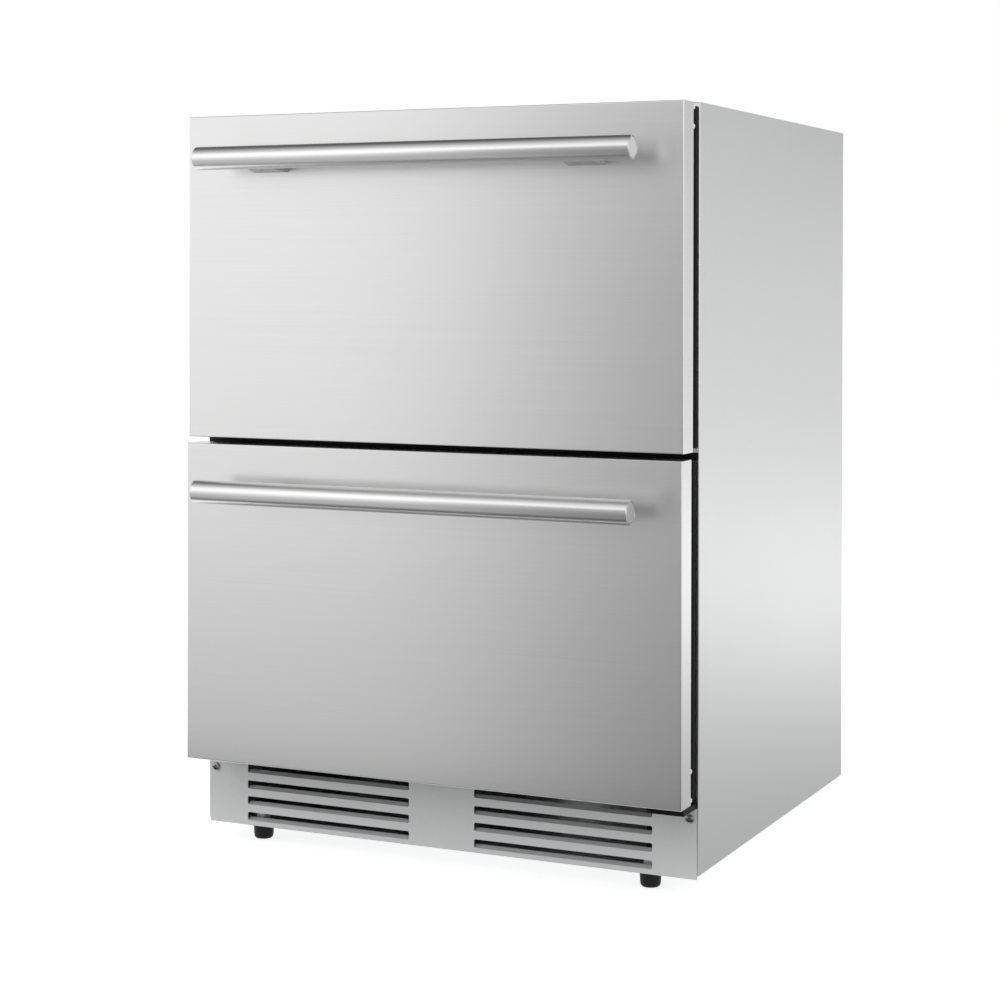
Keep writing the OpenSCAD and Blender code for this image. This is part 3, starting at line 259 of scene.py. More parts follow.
def round_off(bm, edges, width, steps=2):
    bmesh.ops.bevel(
        bm, geom=list(edges), offset=width, offset_type="OFFSET", affect="EDGES",
        segments=steps, profile=0.5, material=-1, clamp_overlap=True
    )


def edges_along(edges, axis):
    """Those edges that run along one axis, 0 to 2."""
    return [e for e in edges if abs((e.verts[0].co - e.verts[1].co).normalized()[axis]) > 0.999]


def folded(edges, least):
    """Those edges between two faces that meet at more than the least angle, in radians."""
    return [e for e in edges if e.calc_face_angle(0) > least]


def boundary(bm):
    return [e for e in bm.edges if e.is_boundary]


def add_block(bm, low, high, rounding=0.0, steps=2):
    """Box between two corners, with its edges rounded."""
    low, high = Vector(low), Vector(high)
    place = Matrix.Translation((low + high) / 2) @ Matrix.Diagonal((*(high - low), 1))
    made = bmesh.ops.create_cube(bm, size=1, matrix=place)["verts"]
    if rounding:
        round_off(bm, {e for v in made for e in v.link_edges}, rounding, steps)


def add_rod(bm, start, axis, length, radius):
    """Straight rod with closed ends."""
    middle = Vector(start) + Vector(axis) * length / 2
    bmesh.ops.create_cone(
        bm, cap_ends=True, segments=32, radius1=radius, radius2=radius, depth=length,
        matrix=turned_to(axis, middle)
    )


def add_turned(bm, profile, place, steps=48):
    """Profile of radius and height in millimetres, turned round Z and put in place."""
    older = set(bm.verts)
    line = [bm.verts.new((radius, 0, height)) for radius, height in profile]
    edges = [bm.edges.new(pair) for pair in zip(line, line[1:])]
    bmesh.ops.spin(
        bm, geom=line + edges, cent=(0, 0, 0), axis=(0, 0, 1), angle=math.tau, steps=steps, use_merge=True
    )
    bmesh.ops.remove_doubles(bm, verts=newer(bm, older), dist=MERGE / MM)
    bmesh.ops.transform(bm, matrix=place @ Matrix.Scale(MM, 4), verts=newer(bm, older))


def add_frame_moulding(bm, profile, low, high):
    """Moulding round a rectangle in X and Z: profile is of distance inside the outline and Y."""
    loops = []
    for side_x, side_z in ((-1, -1), (1, -1), (1, 1), (-1, 1)):
        corner_x = high[0] if side_x > 0 else low[0]
        corner_z = high[1] if side_z > 0 else low[1]
        ring = [bm.verts.new((corner_x - side_x * inset, y, corner_z - side_z * inset))
                for inset, y in profile]
        loops.append([bm.edges.new((a, b)) for a, b in zip(ring, ring[1:] + ring[:1])])
    for here, there in zip(loops, loops[1:] + loops[:1]):
        bmesh.ops.bridge_loops(bm, edges=here + there)


def add_pipe(bm, path, radius, sides=12):
    """Round bar along a path, with closed ends."""
    loops, ahead = [], Vector((0, 0, 1))
    turn = Matrix.Identity(3)
    for i, point in enumerate(path):
        way = (path[min(i + 1, len(path) - 1)] - path[max(i - 1, 0)]).normalized()
        turn = ahead.rotation_difference(way).to_matrix() @ turn
        ahead = way
        place = Matrix.Translation(point) @ turn.to_4x4()
        ring = bmesh.ops.create_circle(bm, segments=sides, radius=radius, matrix=place)["verts"]
        loops.append(list({e for v in ring for e in v.link_edges}))
    for here, there in zip(loops, loops[1:]):
        bmesh.ops.bridge_loops(bm, edges=here + there)
    for end in (loops[0], loops[-1]):
        bmesh.ops.edgeloop_fill(bm, edges=end)


def round_corners(points, radius, steps=5):
    """Path whose corners are rounded with arcs."""
    points = [Vector(p) for p in points]
    path = [points[0]]
    for before, corner, after in zip(points, points[1:], points[2:]):
        come, go = (corner - before).normalized(), (after - corner).normalized()
        start, end = corner - come * radius, corner + go * radius
        for step in range(steps + 1):
            t = step / steps
            path.append(start * (1 - t) ** 2 + corner * 2 * t * (1 - t) + end * t ** 2)
    return path + [points[-1]]


def mirrored(half, length):
    """Profile that ends as it begins."""
    return half + [(radius, length - height) for radius, height in reversed(half)]


def spaced(first, last, count):
    """Even steps from first to last, both among them."""
    return [first + (last - first) * i / (count - 1) for i in range(count)]


def new_mesh(bm, name):
    mesh = bpy.data.meshes.new(name)
    bm.to_mesh(mesh)
    bm.free()
    return mesh


def add_object(name, content):
    """Puts a mesh, a light or a camera into the scene."""
    made = bpy.data.objects.new(name, content)
    bpy.context.scene.collection.objects.link(made)
    return made


def clean(bm):
    """Merges doubles and turns the faces outwards."""
    bmesh.ops.remove_doubles(bm, verts=bm.verts, dist=MERGE)
    bmesh.ops.recalc_face_normals(bm, faces=bm.faces)


def close_piece(bm, name, body, slot, finish=None, stands_for=(), smooth=35, turn_out=True):
    """Turns a bmesh into a piece that rides on a body: edges sharper than smooth degrees stay sharp."""
    if turn_out:
        clean(bm)
    piece = add_object(name, new_mesh(bm, name))
    piece.data.shade_smooth()
    piece.data.set_sharp_from_angle(angle=math.radians(smooth))
    wear(piece, finish or slot)
    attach(piece, body)
    if stands_for:
        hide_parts(*stands_for)
    return piece


def hold_flat(bm, least, width):
    """Narrow strip round each wide face, so that smooth shading leaves the face itself flat."""
    wide = [f for f in bm.faces if f.calc_area() > least]
    bmesh.ops.inset_individual(bm, faces=wide, thickness=width, use_even_offset=True)


def turn_shell(bm):
    """Points an open shell's faces away from its inside, judged by the lowest of them."""
    clean(bm)
    floor = min(bm.faces, key=lambda f: f.calc_center_median().z)
    if floor.normal.z > 0:
        bmesh.ops.reverse_faces(bm, faces=bm.faces)


def thicken(piece, wall, offset=-1, even=True):
    """Gives a shell its wall: inwards from its faces, or to both sides with an offset of 0."""
    shell = piece.modifiers.new("wall", "SOLIDIFY")
    shell.thickness = wall
    shell.offset = offset
    shell.use_even_offset = even


def on_corner(edge, low, high):
    """True where an edge runs along an outer corner of a box."""
    return all(
        sum(min(abs(v.co[i] - low[i]), abs(v.co[i] - high[i])) < 0.1 * MM for i in (0, 1)) == 2
        for v in edge.verts
    )


CAD_MERGE = 0.02 * MM
SHARP = math.radians(38)
FLAT_EDGE = 0.5 * MM


def soften(node, name, body, slot, rounding, steps=2, fold=0.0):
    """A CAD node's own shape with its sharp edges rounded off, and its upright outer folds by fold."""
    bm = bmesh.new()
    bm.from_mesh(nodes[node].data)
    bmesh.ops.remove_doubles(bm, verts=bm.verts, dist=CAD_MERGE)
    bmesh.ops.dissolve_limit(bm, angle_limit=math.radians(1), verts=bm.verts, edges=bm.edges)
    if fold:
        folds = [e for e in edges_along(folded(bm.edges, SHARP), 2) if on_corner(e, *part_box(node))]
        round_off(bm, folds, fold, 4)
    round_off(bm, folded(bm.edges, SHARP), rounding, steps)
    if fold:
        hold_flat(bm, 0.01, FLAT_EDGE)
    close_piece(bm, name, body, slot, stands_for=(node,), smooth=30 if fold else 12, turn_out=False)


# ---------- drawer fronts ----------

FOLD_RADIUS = 1.1 * MM
REAR_FOLD_RADIUS = 0.8 * MM
SEAM_RADIUS = 0.3 * MM
SHEET = 1.0 * MM
HEM = 9 * MM


def make_front(drawer):
    """Folded steel pan with rounded front edges, butted corners and a hem at the rear."""
    low, high, middle = box_size(drawer + "_front")
    bm = bmesh.new()
    add_block(bm, low, high)
    bmesh.ops.delete(bm, geom=[f for f in bm.faces if f.normal.y > 0.9], context="FACES_ONLY")
    hem = bmesh.ops.extrude_edge_only(bm, edges=boundary(bm))["geom"]
    for vert in verts_in(hem):
        vert.co.x -= math.copysign(HEM, vert.co.x - middle.x)
        vert.co.z -= math.copysign(HEM, vert.co.z - middle.z)
    round_off(bm, {e for f in bm.faces if f.normal.y < -0.9 for e in f.edges}, FOLD_RADIUS, 5)
    rear = [e for e in folded(bm.edges, 1) if min(v.co.y for v in e.verts) > high.y - 0.1 * MM]
    round_off(bm, rear, REAR_FOLD_RADIUS, 3)
    round_off(bm, folded(edges_along(bm.edges, 1), 1), SEAM_RADIUS)
    hold_flat(bm, 0.005, FLAT_EDGE)
    piece = close_piece(bm, drawer + "_front_skin", drawer + "_drawer", "front_steel",
                        stands_for=(drawer + "_front",))
    thicken(piece, SHEET)


# Half of the seal's section, as shares of its width and of its depth from its foot.
SEAL_HALF = (
    (0.0, 0.0), (0.0, 0.12), (0.08, 0.26), (0.05, 0.34), (0.17, 0.40), (0.11, 0.50), (0.17, 0.60),
    (0.05, 0.67), (0.0, 0.74), (0.0, 0.97), (0.03, 1.0), (0.30, 1.0), (0.36, 0.97)
)
SEAL_WIDTH = 24 * MM


def make_seal(drawer):
    """Magnetic seal with its foot, the folds of its bellows and the bag of its magnet."""
    low, high, _ = box_size(drawer + "_seal")
    shares = SEAL_HALF + tuple((1 - across, out) for across, out in reversed(SEAL_HALF))
    profile = [(across * SEAL_WIDTH, low.y + out * (high.y - low.y)) for across, out in shares]
    bm = bmesh.new()
    add_frame_moulding(bm, profile, (low.x, low.z), (high.x, high.z))
    close_piece(bm, drawer + "_seal_bellows", drawer + "_drawer", "seal_rubber",
                stands_for=(drawer + "_seal",), smooth=50)


COVER_SIDE = 46 * MM
COVER_END = 29 * MM


def make_inner_cover(drawer):
    """Moulded inside of a front: raised field with rounded edges on a flat flange."""
    low, high, _ = box_size(drawer + "_front_liner")
    bm = bmesh.new()
    add_block(bm, low, (high.x, low.y + 2 * MM, high.z), 0.5 * MM)
    add_block(bm, (low.x + COVER_SIDE, low.y + 0.5 * MM, low.z + COVER_END),
              (high.x - COVER_SIDE, high.y, high.z - COVER_END), 4 * MM, 4)
    close_piece(bm, drawer + "_inner_cover", drawer + "_drawer", "white_plastic",
                stands_for=(drawer + "_front_liner",))


# ---------- handles ----------

BAR_END = [(0, 0.1), (10.7, 0.1), (11.0, 0.35), (11.1, 1.2), (11.5, 1.2), (11.6, 0.3), (11.9, 0),
           (12.5, 0.12), (12.85, 0.5), (13, 1.2)]


def make_bar(drawer):
    """Round bar with turned ends: a shallow dish inside a rounded rim."""
    place, length, _ = lying_along((1, 0, 0), drawer + "_bar")
    bm = bmesh.new()
    add_turned(bm, mirrored(BAR_END, length), place, 96)
    return close_piece(bm, drawer + "_bar_rod", drawer + "_drawer", "front_steel", "bar_steel",
                       stands_for=(drawer + "_bar",))


SET_SCREW_PROFILE = [(0, -2), (1.3475, -2), (1.3475, 0), (2.254, 0), (2.45, -0.245), (2.45, -4), (0, -4)]
# Each screw stands 4 mm left of the middle of its post.
SET_SCREWS_X = (-0.195, 0.187)


def make_posts(drawer):
    """Two posts with rounded edges, and the set screw under each."""
    low, high, _ = box_size(drawer + "_bar_posts")
    soften(drawer + "_bar_posts", drawer + "_posts", drawer + "_drawer", "post_steel", 0.7 * MM, 3)
    screws = bmesh.new()
    for x in SET_SCREWS_X:
        place = turned_to((0, 0, -1), (x, high.y - 12 * MM, low.z + 3 * MM))
        add_turned(screws, SET_SCREW_PROFILE, place, 12)
    close_piece(screws, drawer + "_set_screws", drawer + "_drawer", "black_paint")


# ---------- screws ----------

# Millimetres, as in every turned profile.
SCREW_HEAD_RADIUS = 5.0
SCREW_HEAD_HEIGHT = 2.5
SHANK_RADIUS = 2
SHANK = 8
CROSS_ARM = 2.8 * MM
CROSS_HALF_WIDTH = 0.75 * MM


def add_cross_screw(bm, at, axis):
    """Pan head screw with a cross recess, its seat at a point and its axis outwards."""
    older = set(bm.verts)
    radius, rise = SCREW_HEAD_RADIUS, SCREW_HEAD_HEIGHT
    add_turned(bm, [(radius * 0.62, rise), (radius * 0.85, rise * 0.82), (radius * 0.97, rise * 0.45),
                    (radius, 0), (SHANK_RADIUS, 0), (SHANK_RADIUS, -SHANK), (0, -SHANK - SHANK_RADIUS)],
               Matrix.Identity(4), 24)
    crown = rise * MM
    top = [v for v in newer(bm, older) if v.co.z > crown * 0.99]
    ring = {e for v in top for e in v.link_edges if e.is_boundary}
    arm, half = CROSS_ARM, CROSS_HALF_WIDTH
    corners = [(arm, -half), (arm, half), (half, half), (half, arm), (-half, arm), (-half, half),
               (-arm, half), (-arm, -half), (-half, -half), (-half, -arm), (half, -arm), (half, -half)]
    outline = [bm.verts.new((x, y, crown)) for x, y in corners]
    cross = [bm.edges.new((a, b)) for a, b in zip(outline, outline[1:] + outline[:1])]
    bmesh.ops.triangle_fill(bm, edges=list(ring) + cross, use_beauty=True, normal=(0, 0, 1))
    sunk = bmesh.ops.extrude_edge_only(bm, edges=cross)["geom"]
    floor = verts_in(sunk)
    for vert in floor:
        vert.co = Vector((vert.co.x * 0.7, vert.co.y * 0.7, crown * 0.35))
    rim = [e for e in edges_in(sunk) if e.verts[0] in floor and e.verts[1] in floor]
    bmesh.ops.edgeloop_fill(bm, edges=rim)
    bmesh.ops.transform(bm, matrix=turned_to(axis, at), verts=newer(bm, older))


def node_parts(node):
    """Low and high corners of a CAD node's separate solids."""
    bm = bmesh.new()
    bm.from_mesh(nodes[node].data)
    bmesh.ops.remove_doubles(bm, verts=bm.verts, dist=CAD_MERGE)
    left, parts = set(bm.verts), []
    while left:
        island, reached = set(), [left.pop()]
        while reached:
            vert = reached.pop()
            island.add(vert)
            near = {e.other_vert(vert) for e in vert.link_edges} & left
            left -= near
            reached.extend(near)
        parts.append([Vector([side(v.co[i] for v in island) for i in range(3)]) for side in (min, max)])
    bm.free()
    return parts


def make_panel_screws():
    """Screws of the base grille, of the rear panels and of the corner bracket."""
    bm = bmesh.new()
    rise = SCREW_HEAD_HEIGHT * MM
    for low, high in node_parts("panel_screws"):
        middle = (low + high) / 2
        if high.z - low.z > high.y - low.y:
            add_cross_screw(bm, (middle.x, middle.y, low.z + rise), (0, 0, -1))
        elif middle.y > 0:
            add_cross_screw(bm, (middle.x, high.y - rise, middle.z), (0, 1, 0))
        else:
            add_cross_screw(bm, (middle.x, low.y + rise, middle.z), (0, -1, 0))
    close_piece(bm, "panel_cross_screws", "cabinet", "screw_steel", stands_for=("panel_screws",))


# The heads are a little wider than the CAD's, as wide as they look in the gap.
SEAL_SCREW_WIDENING = 1.4


def make_seal_screws(drawer):
    """Small round heads on the sides of a front, next to the seal."""
    bm = bmesh.new()
    for low, high in node_parts(drawer + "_seal_screws"):
        middle = (low + high) / 2
        side = math.copysign(1, middle.x)
        base = low.x if side > 0 else high.x
        radius = (high.z - low.z) / 2 * SEAL_SCREW_WIDENING / MM
        height = (high.x - low.x) / MM
        profile = [(0, 0), (radius, 0), (radius, height * 0.5), (radius * 0.8, height * 0.9),
                   (radius * 0.4, height), (radius * 0.3, height * 0.7), (0, height * 0.7)]
        add_turned(bm, profile, turned_to((side, 0, 0), (base, middle.y, middle.z)), 16)
    close_piece(bm, drawer + "_seal_screw_heads", drawer + "_drawer", "screw_steel", "seal_screw_coat",
                stands_for=(drawer + "_seal_screws",))


# ---------- tubs ----------

TUB_WALL = 2 * MM
TUB_CORNER = 14 * MM
TUB_LIP = 4 * MM
LIP_TURN = 3 * MM
RIB_END = 30 * MM
# The lower tub's floor is stepped at the rear, over the machine room.
STEP_REACH = 0.135
STEP_HEIGHT = 0.342


def open_form(bm, corner, steps):
    """Rounds the edges of a closed form except those round its top, and takes the top off."""
    top = max(v.co.z for v in bm.verts) - MM
    round_off(bm, [e for e in bm.edges if min(v.co.z for v in e.verts) < top], corner, steps)
    lid = [f for f in bm.faces if f.normal.z > 0.9 and f.calc_center_median().z > top]
    bmesh.ops.delete(bm, geom=lid, context="FACES_ONLY")


def shape_tub(bm, drawer):
    """Rounds a closed tub form, opens it, and gives it its folded rim and its walls."""
    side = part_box(drawer + "_tub")[1].x
    open_form(bm, TUB_CORNER, 5)
    rim = boundary(bm)
    for vert in {v for e in rim for v in e.verts}:
        vert.co.z -= TUB_WALL
    reach = side - TUB_WALL - max(v.co.x for v in bm.verts)
    lip = bmesh.ops.extrude_edge_only(bm, edges=edges_along(rim, 1))["geom"]
    for vert in verts_in(lip):
        vert.co.x += math.copysign(reach, vert.co.x)
    turned_down = bmesh.ops.extrude_edge_only(bm, edges=edges_along(edges_in(lip), 1))["geom"]
    for vert in verts_in(turned_down):
        vert.co.z -= LIP_TURN
    turn_shell(bm)
    piece = close_piece(bm, drawer + "_tub_shell", drawer + "_drawer", "white_plastic",
                        stands_for=(drawer + "_tub",), smooth=50, turn_out=False)
    thicken(piece, TUB_WALL)


def make_tub_ribs(drawer, front, rear, bottom):
    """Low rounded ribs on a tub's floor that keep packets out of the melt water."""
    bm = bmesh.new()
    floor = bottom + TUB_WALL
    for x in spaced(-192 * MM, 192 * MM, 9):
        add_block(bm, (x - 3 * MM, front + RIB_END, floor - 0.5 * MM),
                  (x + 3 * MM, rear - RIB_END, floor + 2 * MM), 1.2 * MM, 3)
    close_piece(bm, drawer + "_tub_ribs", drawer + "_drawer", "white_plastic")


def make_upper_tub():
    low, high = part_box("upper_tub")
    bm = bmesh.new()
    add_block(bm, (low.x + TUB_LIP, low.y, low.z), (high.x - TUB_LIP, high.y, high.z))
    shape_tub(bm, "upper")
    make_tub_ribs("upper", low.y, high.y, low.z)


def make_lower_tub():
    low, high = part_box("lower_tub")
    step_y = high.y - STEP_REACH
    outline = [(low.y, low.z), (step_y, low.z), (step_y, STEP_HEIGHT), (high.y, STEP_HEIGHT),
               (high.y, high.z), (low.y, high.z)]
    bm = bmesh.new()
    face = bm.faces.new([bm.verts.new((low.x + TUB_LIP, y, z)) for y, z in outline])
    far = bmesh.ops.extrude_face_region(bm, geom=[face])["geom"]
    bmesh.ops.translate(bm, vec=(high.x - low.x - 2 * TUB_LIP, 0, 0), verts=verts_in(far))
    bmesh.ops.recalc_face_normals(bm, faces=bm.faces)
    shape_tub(bm, "lower")
    make_tub_ribs("lower", low.y, step_y, low.z)


# ---------- fans ----------

FAN_HUB = 20
FAN_BLADES = 5


def make_fan(node, body, slot, axis, depth):
    """Moulded fan, depth in millimetres: rounded hub, and blades that twist and sweep from hub to tip."""
    place, length, radius = lying_along(axis, node)
    hub, root = FAN_HUB, FAN_HUB * 0.95
    bm = bmesh.new()
    add_turned(bm, [(0, 0.5), (hub * 0.7, 0.5), (hub * 0.92, 1.5), (hub, 4), (hub, depth), (hub - 2, depth),
                    (hub - 2, 5), (4.5, 5), (4.5, depth), (2.5, depth), (2.5, length), (0, length)], place)
    for i in range(FAN_BLADES):
        older = set(bm.verts)
        bmesh.ops.create_grid(bm, x_segments=7, y_segments=6, size=0.5)
        blade = newer(bm, older)
        for vert in blade:
            share = vert.co.x + 0.5
            reach = root + share * (radius - root)
            chord = (0.62 + 0.34 * math.sin(share * math.pi * 0.8)) * radius
            pitch = math.radians(38 - 20 * share)
            swing = vert.co.y * chord * math.cos(pitch) / reach + 0.35 * share ** 2
            lift = max(1 - depth / 2, min(depth / 2 - 1, vert.co.y * chord * math.sin(pitch)))
            vert.co = Vector((reach * math.cos(swing), reach * math.sin(swing), depth / 2 + lift))
        faces = list({f for v in blade for f in v.link_faces})
        bmesh.ops.recalc_face_normals(bm, faces=faces)
        bmesh.ops.solidify(bm, geom=faces, thickness=1.4)
        turned = place @ Matrix.Rotation(i * math.tau / FAN_BLADES, 4, "Z") @ Matrix.Scale(MM, 4)
        bmesh.ops.transform(bm, matrix=turned, verts=newer(bm, older))
    close_piece(bm, node + "_blades", body, slot, stands_for=(node,), smooth=40)


def make_motor(node, slot, axis, ribs=4):
    """Motor with a ribbed can and bevelled ends."""
    place, length, radius = lying_along(axis, node)
    step = (length - 10) / ribs
    profile = [(0, 0), (6, 0), (radius - 3, 0), (radius, 2)]
    for i in range(ribs):
        at = 4 + i * step
        profile += [(radius, at), (radius - 1, at + step * 0.2), (radius - 1, at + step * 0.6),
                    (radius, at + step * 0.8)]
    profile += [(radius, length - 3), (radius - 3, length), (0, length)]
    bm = bmesh.new()
    add_turned(bm, profile, place)
    close_piece(bm, node + "_can", "cabinet", slot, stands_for=(node,), smooth=30)


# Section of one ring of the guard: distance from the ring's middle line, and from the cover.
GUARD_BAR = ((-1, -0.4), (-1, 0.8), (-0.5, 1.3), (0.5, 1.3), (1, 0.8), (1, -0.4), (-1, -0.4))


def make_fan_guard():
    """Moulded rings in front of the evaporator's fan, and the raised rim round them."""
    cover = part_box("evaporator_cover")[0]
    _, _, fan = box_size("evaporator_fan")
    place = turned_to((0, -1, 0), (0, cover.y, fan.z))
    bm = bmesh.new()
    add_turned(bm, [(53.4, -0.5), (53.4, 1.6), (54.2, 2.4), (57, 2.4), (58.5, 1.4), (59.5, 0), (59.5, -0.5),
                    (53.4, -0.5)], place, 64)
    for radius in (13, 26, 39):
        add_turned(bm, [(radius + out, height) for out, height in GUARD_BAR], place)
    close_piece(bm, "fan_guard_rings", "cabinet", "white_plastic")


# ---------- feet ----------

THREAD_START = 21
THREAD_PITCH = 1.25


def make_foot(node):
    """Levelling foot: moulded pad with a collar, a hexagon grip, and a threaded stud."""
    _, high, middle = box_size(node)
    top = high.z / MM
    place = Matrix.Translation((middle.x, middle.y, 0))
    bm = bmesh.new()
    add_turned(bm, [(0, 0), (7.2, 0), (9.0, 0.5), (10.2, 1.6), (10.9, 3.2), (11.2, 6), (11.4, 10),
                    (11.5, 14.4), (13.5, 15.0), (13.5, 15.8), (13.2, 16), (0, 16)], place)
    add_turned(bm, [(0, 16), (11.2, 16), (11.2, 20), (10.4, 21), (0, 21)], place, 6)
    thread = [(0, 20.9)]
    for i in range(int((top - THREAD_START) / THREAD_PITCH)):
        height = THREAD_START + i * THREAD_PITCH
        thread += [(3.4, height), (4, height + 0.45), (4, height + 0.65), (3.4, height + 1.1)]
    add_turned(bm, thread + [(2.6, top), (0, top)], place, 20)
    close_piece(bm, node + "_pad", node + "_body", "black_plastic", stands_for=(node,), smooth=30)


# ---------- controls and lamp ----------

def make_control_panel():
    """Touch panel in the ceiling: frame, dark pane, display window and two keys on each side of it."""
    low, high, middle = box_size("control_panel")
    bm = bmesh.new()
    add_block(bm, (low.x, low.y, low.z + 1.5 * MM), high, 1.2 * MM, 3)
    add_block(bm, (low.x + 4 * MM, low.y + 4 * MM, low.z + 0.6 * MM),
              (high.x - 4 * MM, high.y - 4 * MM, low.z + 3 * MM), 0.5 * MM)
    close_piece(bm, "control_pane", "cabinet", "black_plastic", stands_for=("control_panel",))
    keys = bmesh.new()
    add_block(keys, (-17 * MM, middle.y - 9 * MM, low.z),
              (17 * MM, middle.y + 9 * MM, low.z + 0.8 * MM), 0.3 * MM)
    for x in (-68, -38, 38, 68):
        add_rod(keys, (x * MM, middle.y, low.z), (0, 0, 1), 0.8 * MM, 6.5 * MM)
    close_piece(keys, "control_keys", "cabinet", "white_plastic")


def make_lamp(count=12):
    """Lamp strip in the ceiling: a clear cover, and behind it a board with diodes."""
    low, high, middle = box_size("led_lamp")
    cover = bmesh.new()
    add_block(cover, low, high, 1.5 * MM, 3)
    close_piece(cover, "lamp_cover", "cabinet", "clear_plastic", stands_for=("led_lamp",))
    board = bmesh.new()
    add_block(board, (low.x + 3 * MM, low.y + 4 * MM, high.z - 1.4 * MM),
              (high.x - 3 * MM, high.y - 4 * MM, high.z), 0.3 * MM)
    close_piece(board, "lamp_board", "cabinet", "white_plastic")
    diodes = bmesh.new()
    for i in range(count):
        x = low.x + (i + 0.5) * (high.x - low.x) / count
        add_block(diodes, (x - 2.5 * MM, middle.y - 2 * MM, high.z - 2.4 * MM),
                  (x + 2.5 * MM, middle.y + 2 * MM, high.z - 1.3 * MM), 0.4 * MM)
    close_piece(diodes, "lamp_diodes", "cabinet", "white_plastic", "lamp_diode")


# ---------- slides ----------

SLIDE_STEEL = 1.2 * MM
BALL_SIZE = 2.6 * MM
BALL_PITCH = 14 * MM
BALLS = 15


def make_channels(node, body, web_x, lip_x, half_height):
    """Pair of rolled channels: web and two lips joined by round bends, drawn out along Y."""
    low, high, middle = box_size(node)
    bm = bmesh.new()
    section = [(lip_x, -half_height), (web_x, -half_height), (web_x, half_height), (lip_x, half_height)]
    for side in (-1, 1):
        path = round_corners([(side * x, low.y, middle.z + z) for x, z in section], 2 * MM, 4)
        line = [bm.verts.new(point) for point in path]
        edges = [bm.edges.new(pair) for pair in zip(line, line[1:])]
        drawn = bmesh.ops.extrude_edge_only(bm, edges=edges)["geom"]
        bmesh.ops.translate(bm, vec=(0, high.y - low.y, 0), verts=verts_in(drawn))
    piece = close_piece(bm, node + "_channels", body, "slide_steel", stands_for=(node,), smooth=50)
    thicken(piece, SLIDE_STEEL, 0, False)


def ball_row():
    """Mesh of one row of balls along Y."""
    bm = bmesh.new()
    for i in range(BALLS):
        at = Matrix.Translation((0, i * BALL_PITCH, 0))
        bmesh.ops.create_uvsphere(bm, u_segments=8, v_segments=6, radius=BALL_SIZE / 2, matrix=at)
    return new_mesh(bm, "ball_row")


def make_ball_rows(drawer, middle_z, rows):
    """Balls between the members and the cages that keep them apart."""
    low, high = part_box(drawer + "_middle_slides")
    balls = bmesh.new()
    cages = bmesh.new()
    length = (BALLS - 1) * BALL_PITCH
    row = ball_row()
    for side in (-1, 1):
        for x, rise in rows:
            for start in (low.y + 12 * MM, high.y - 12 * MM - length):
                for up in (-1, 1):
                    older = set(balls.verts)
                    balls.from_mesh(row)
                    shift = (side * x, start, middle_z + up * rise)
                    bmesh.ops.translate(balls, vec=shift, verts=newer(balls, older))
                add_block(cages, (side * x - 0.3 * MM, start - 8 * MM, middle_z - rise + MM),
                          (side * x + 0.3 * MM, start + length + 8 * MM, middle_z + rise - MM), 0.25 * MM, 1)
    close_piece(balls, drawer + "_slide_balls", drawer + "_middle", "screw_steel", smooth=80)
    close_piece(cages, drawer + "_ball_cages", drawer + "_middle", "slide_steel")


def make_rivets(drawer, node, x):
    """Flat heads that fix the inner members to the tub."""
    low, high, middle = box_size(node)
    bm = bmesh.new()
    for side in (-1, 1):
        for share in (0.06, 0.3, 0.62, 0.94):
            at = (side * x, low.y + share * (high.y - low.y), middle.z)
            add_turned(bm, [(0, 1.1), (1.6, 1.05), (2.8, 0.7), (3.3, 0.2), (3.4, 0), (0, 0)],
                       turned_to((side, 0, 0), at), 16)
    close_piece(bm, drawer + "_slide_rivets", drawer + "_drawer", "screw_steel")


def make_slides(drawer):
    """Outer, middle and inner members on both sides of a drawer, each less tall than the one round it."""
    outer = drawer + "_outer_slides"
    inner = drawer + "_inner_slides"
    low, high, middle = box_size(outer)
    wall = high.x - SLIDE_STEEL / 2
    half = (high.z - low.z) / 2 - SLIDE_STEEL / 2
    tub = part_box(inner)[1].x - 6 * MM + SLIDE_STEEL / 2
    make_channels(outer, "cabinet", wall, wall - 8.4 * MM, half)
    make_channels(drawer + "_middle_slides", drawer + "_middle", wall - 2.2 * MM, wall - 8.6 * MM,
                  half - 4 * MM)
    make_channels(inner, drawer + "_drawer", tub, tub + 5.4 * MM, half - 8 * MM)
    make_ball_rows(drawer, middle.z, ((wall - 5.6 * MM, half - 2 * MM), (wall - 7.6 * MM, half - 6 * MM)))
    make_rivets(drawer, inner, tub + SLIDE_STEEL / 2)


# ---------- cold side and machine room ----------

FIN = 0.3 * MM
TUBE_RADIUS = 4 * MM
TUBE_ROWS = 5
LINE_RADIUS = 3 * MM
FOOT_PLATE = 3 * MM
# Stubs of the compressor: height as a share of the shell's, and distance behind the middle.
DISCHARGE_STUB = (0.58, 0)
SUCTION_STUB = (0.38, 20 * MM)
# Places of the coils' tubes, from the low corner of each coil or from its middle.
CONDENSER_TUBE_X = 20 * MM
CONDENSER_TUBE_Y = 19 * MM
EVAPORATOR_RISE = 25 * MM
EVAPORATOR_BEND = EVAPORATOR_RISE / 2 + TUBE_RADIUS
EVAPORATOR_TUBE_Y = 16 * MM
EVAPORATOR_TUBE_Z = 12 * MM


def shell_place():
    """Middle of the compressor's shell at its foot, and the shell's height."""
    low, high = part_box("compressor")
    _, _, mounts = box_size("compressor_mounts")
    bottom = low.z + FOOT_PLATE
    return Vector((mounts.x, mounts.y, bottom)), high.z - bottom


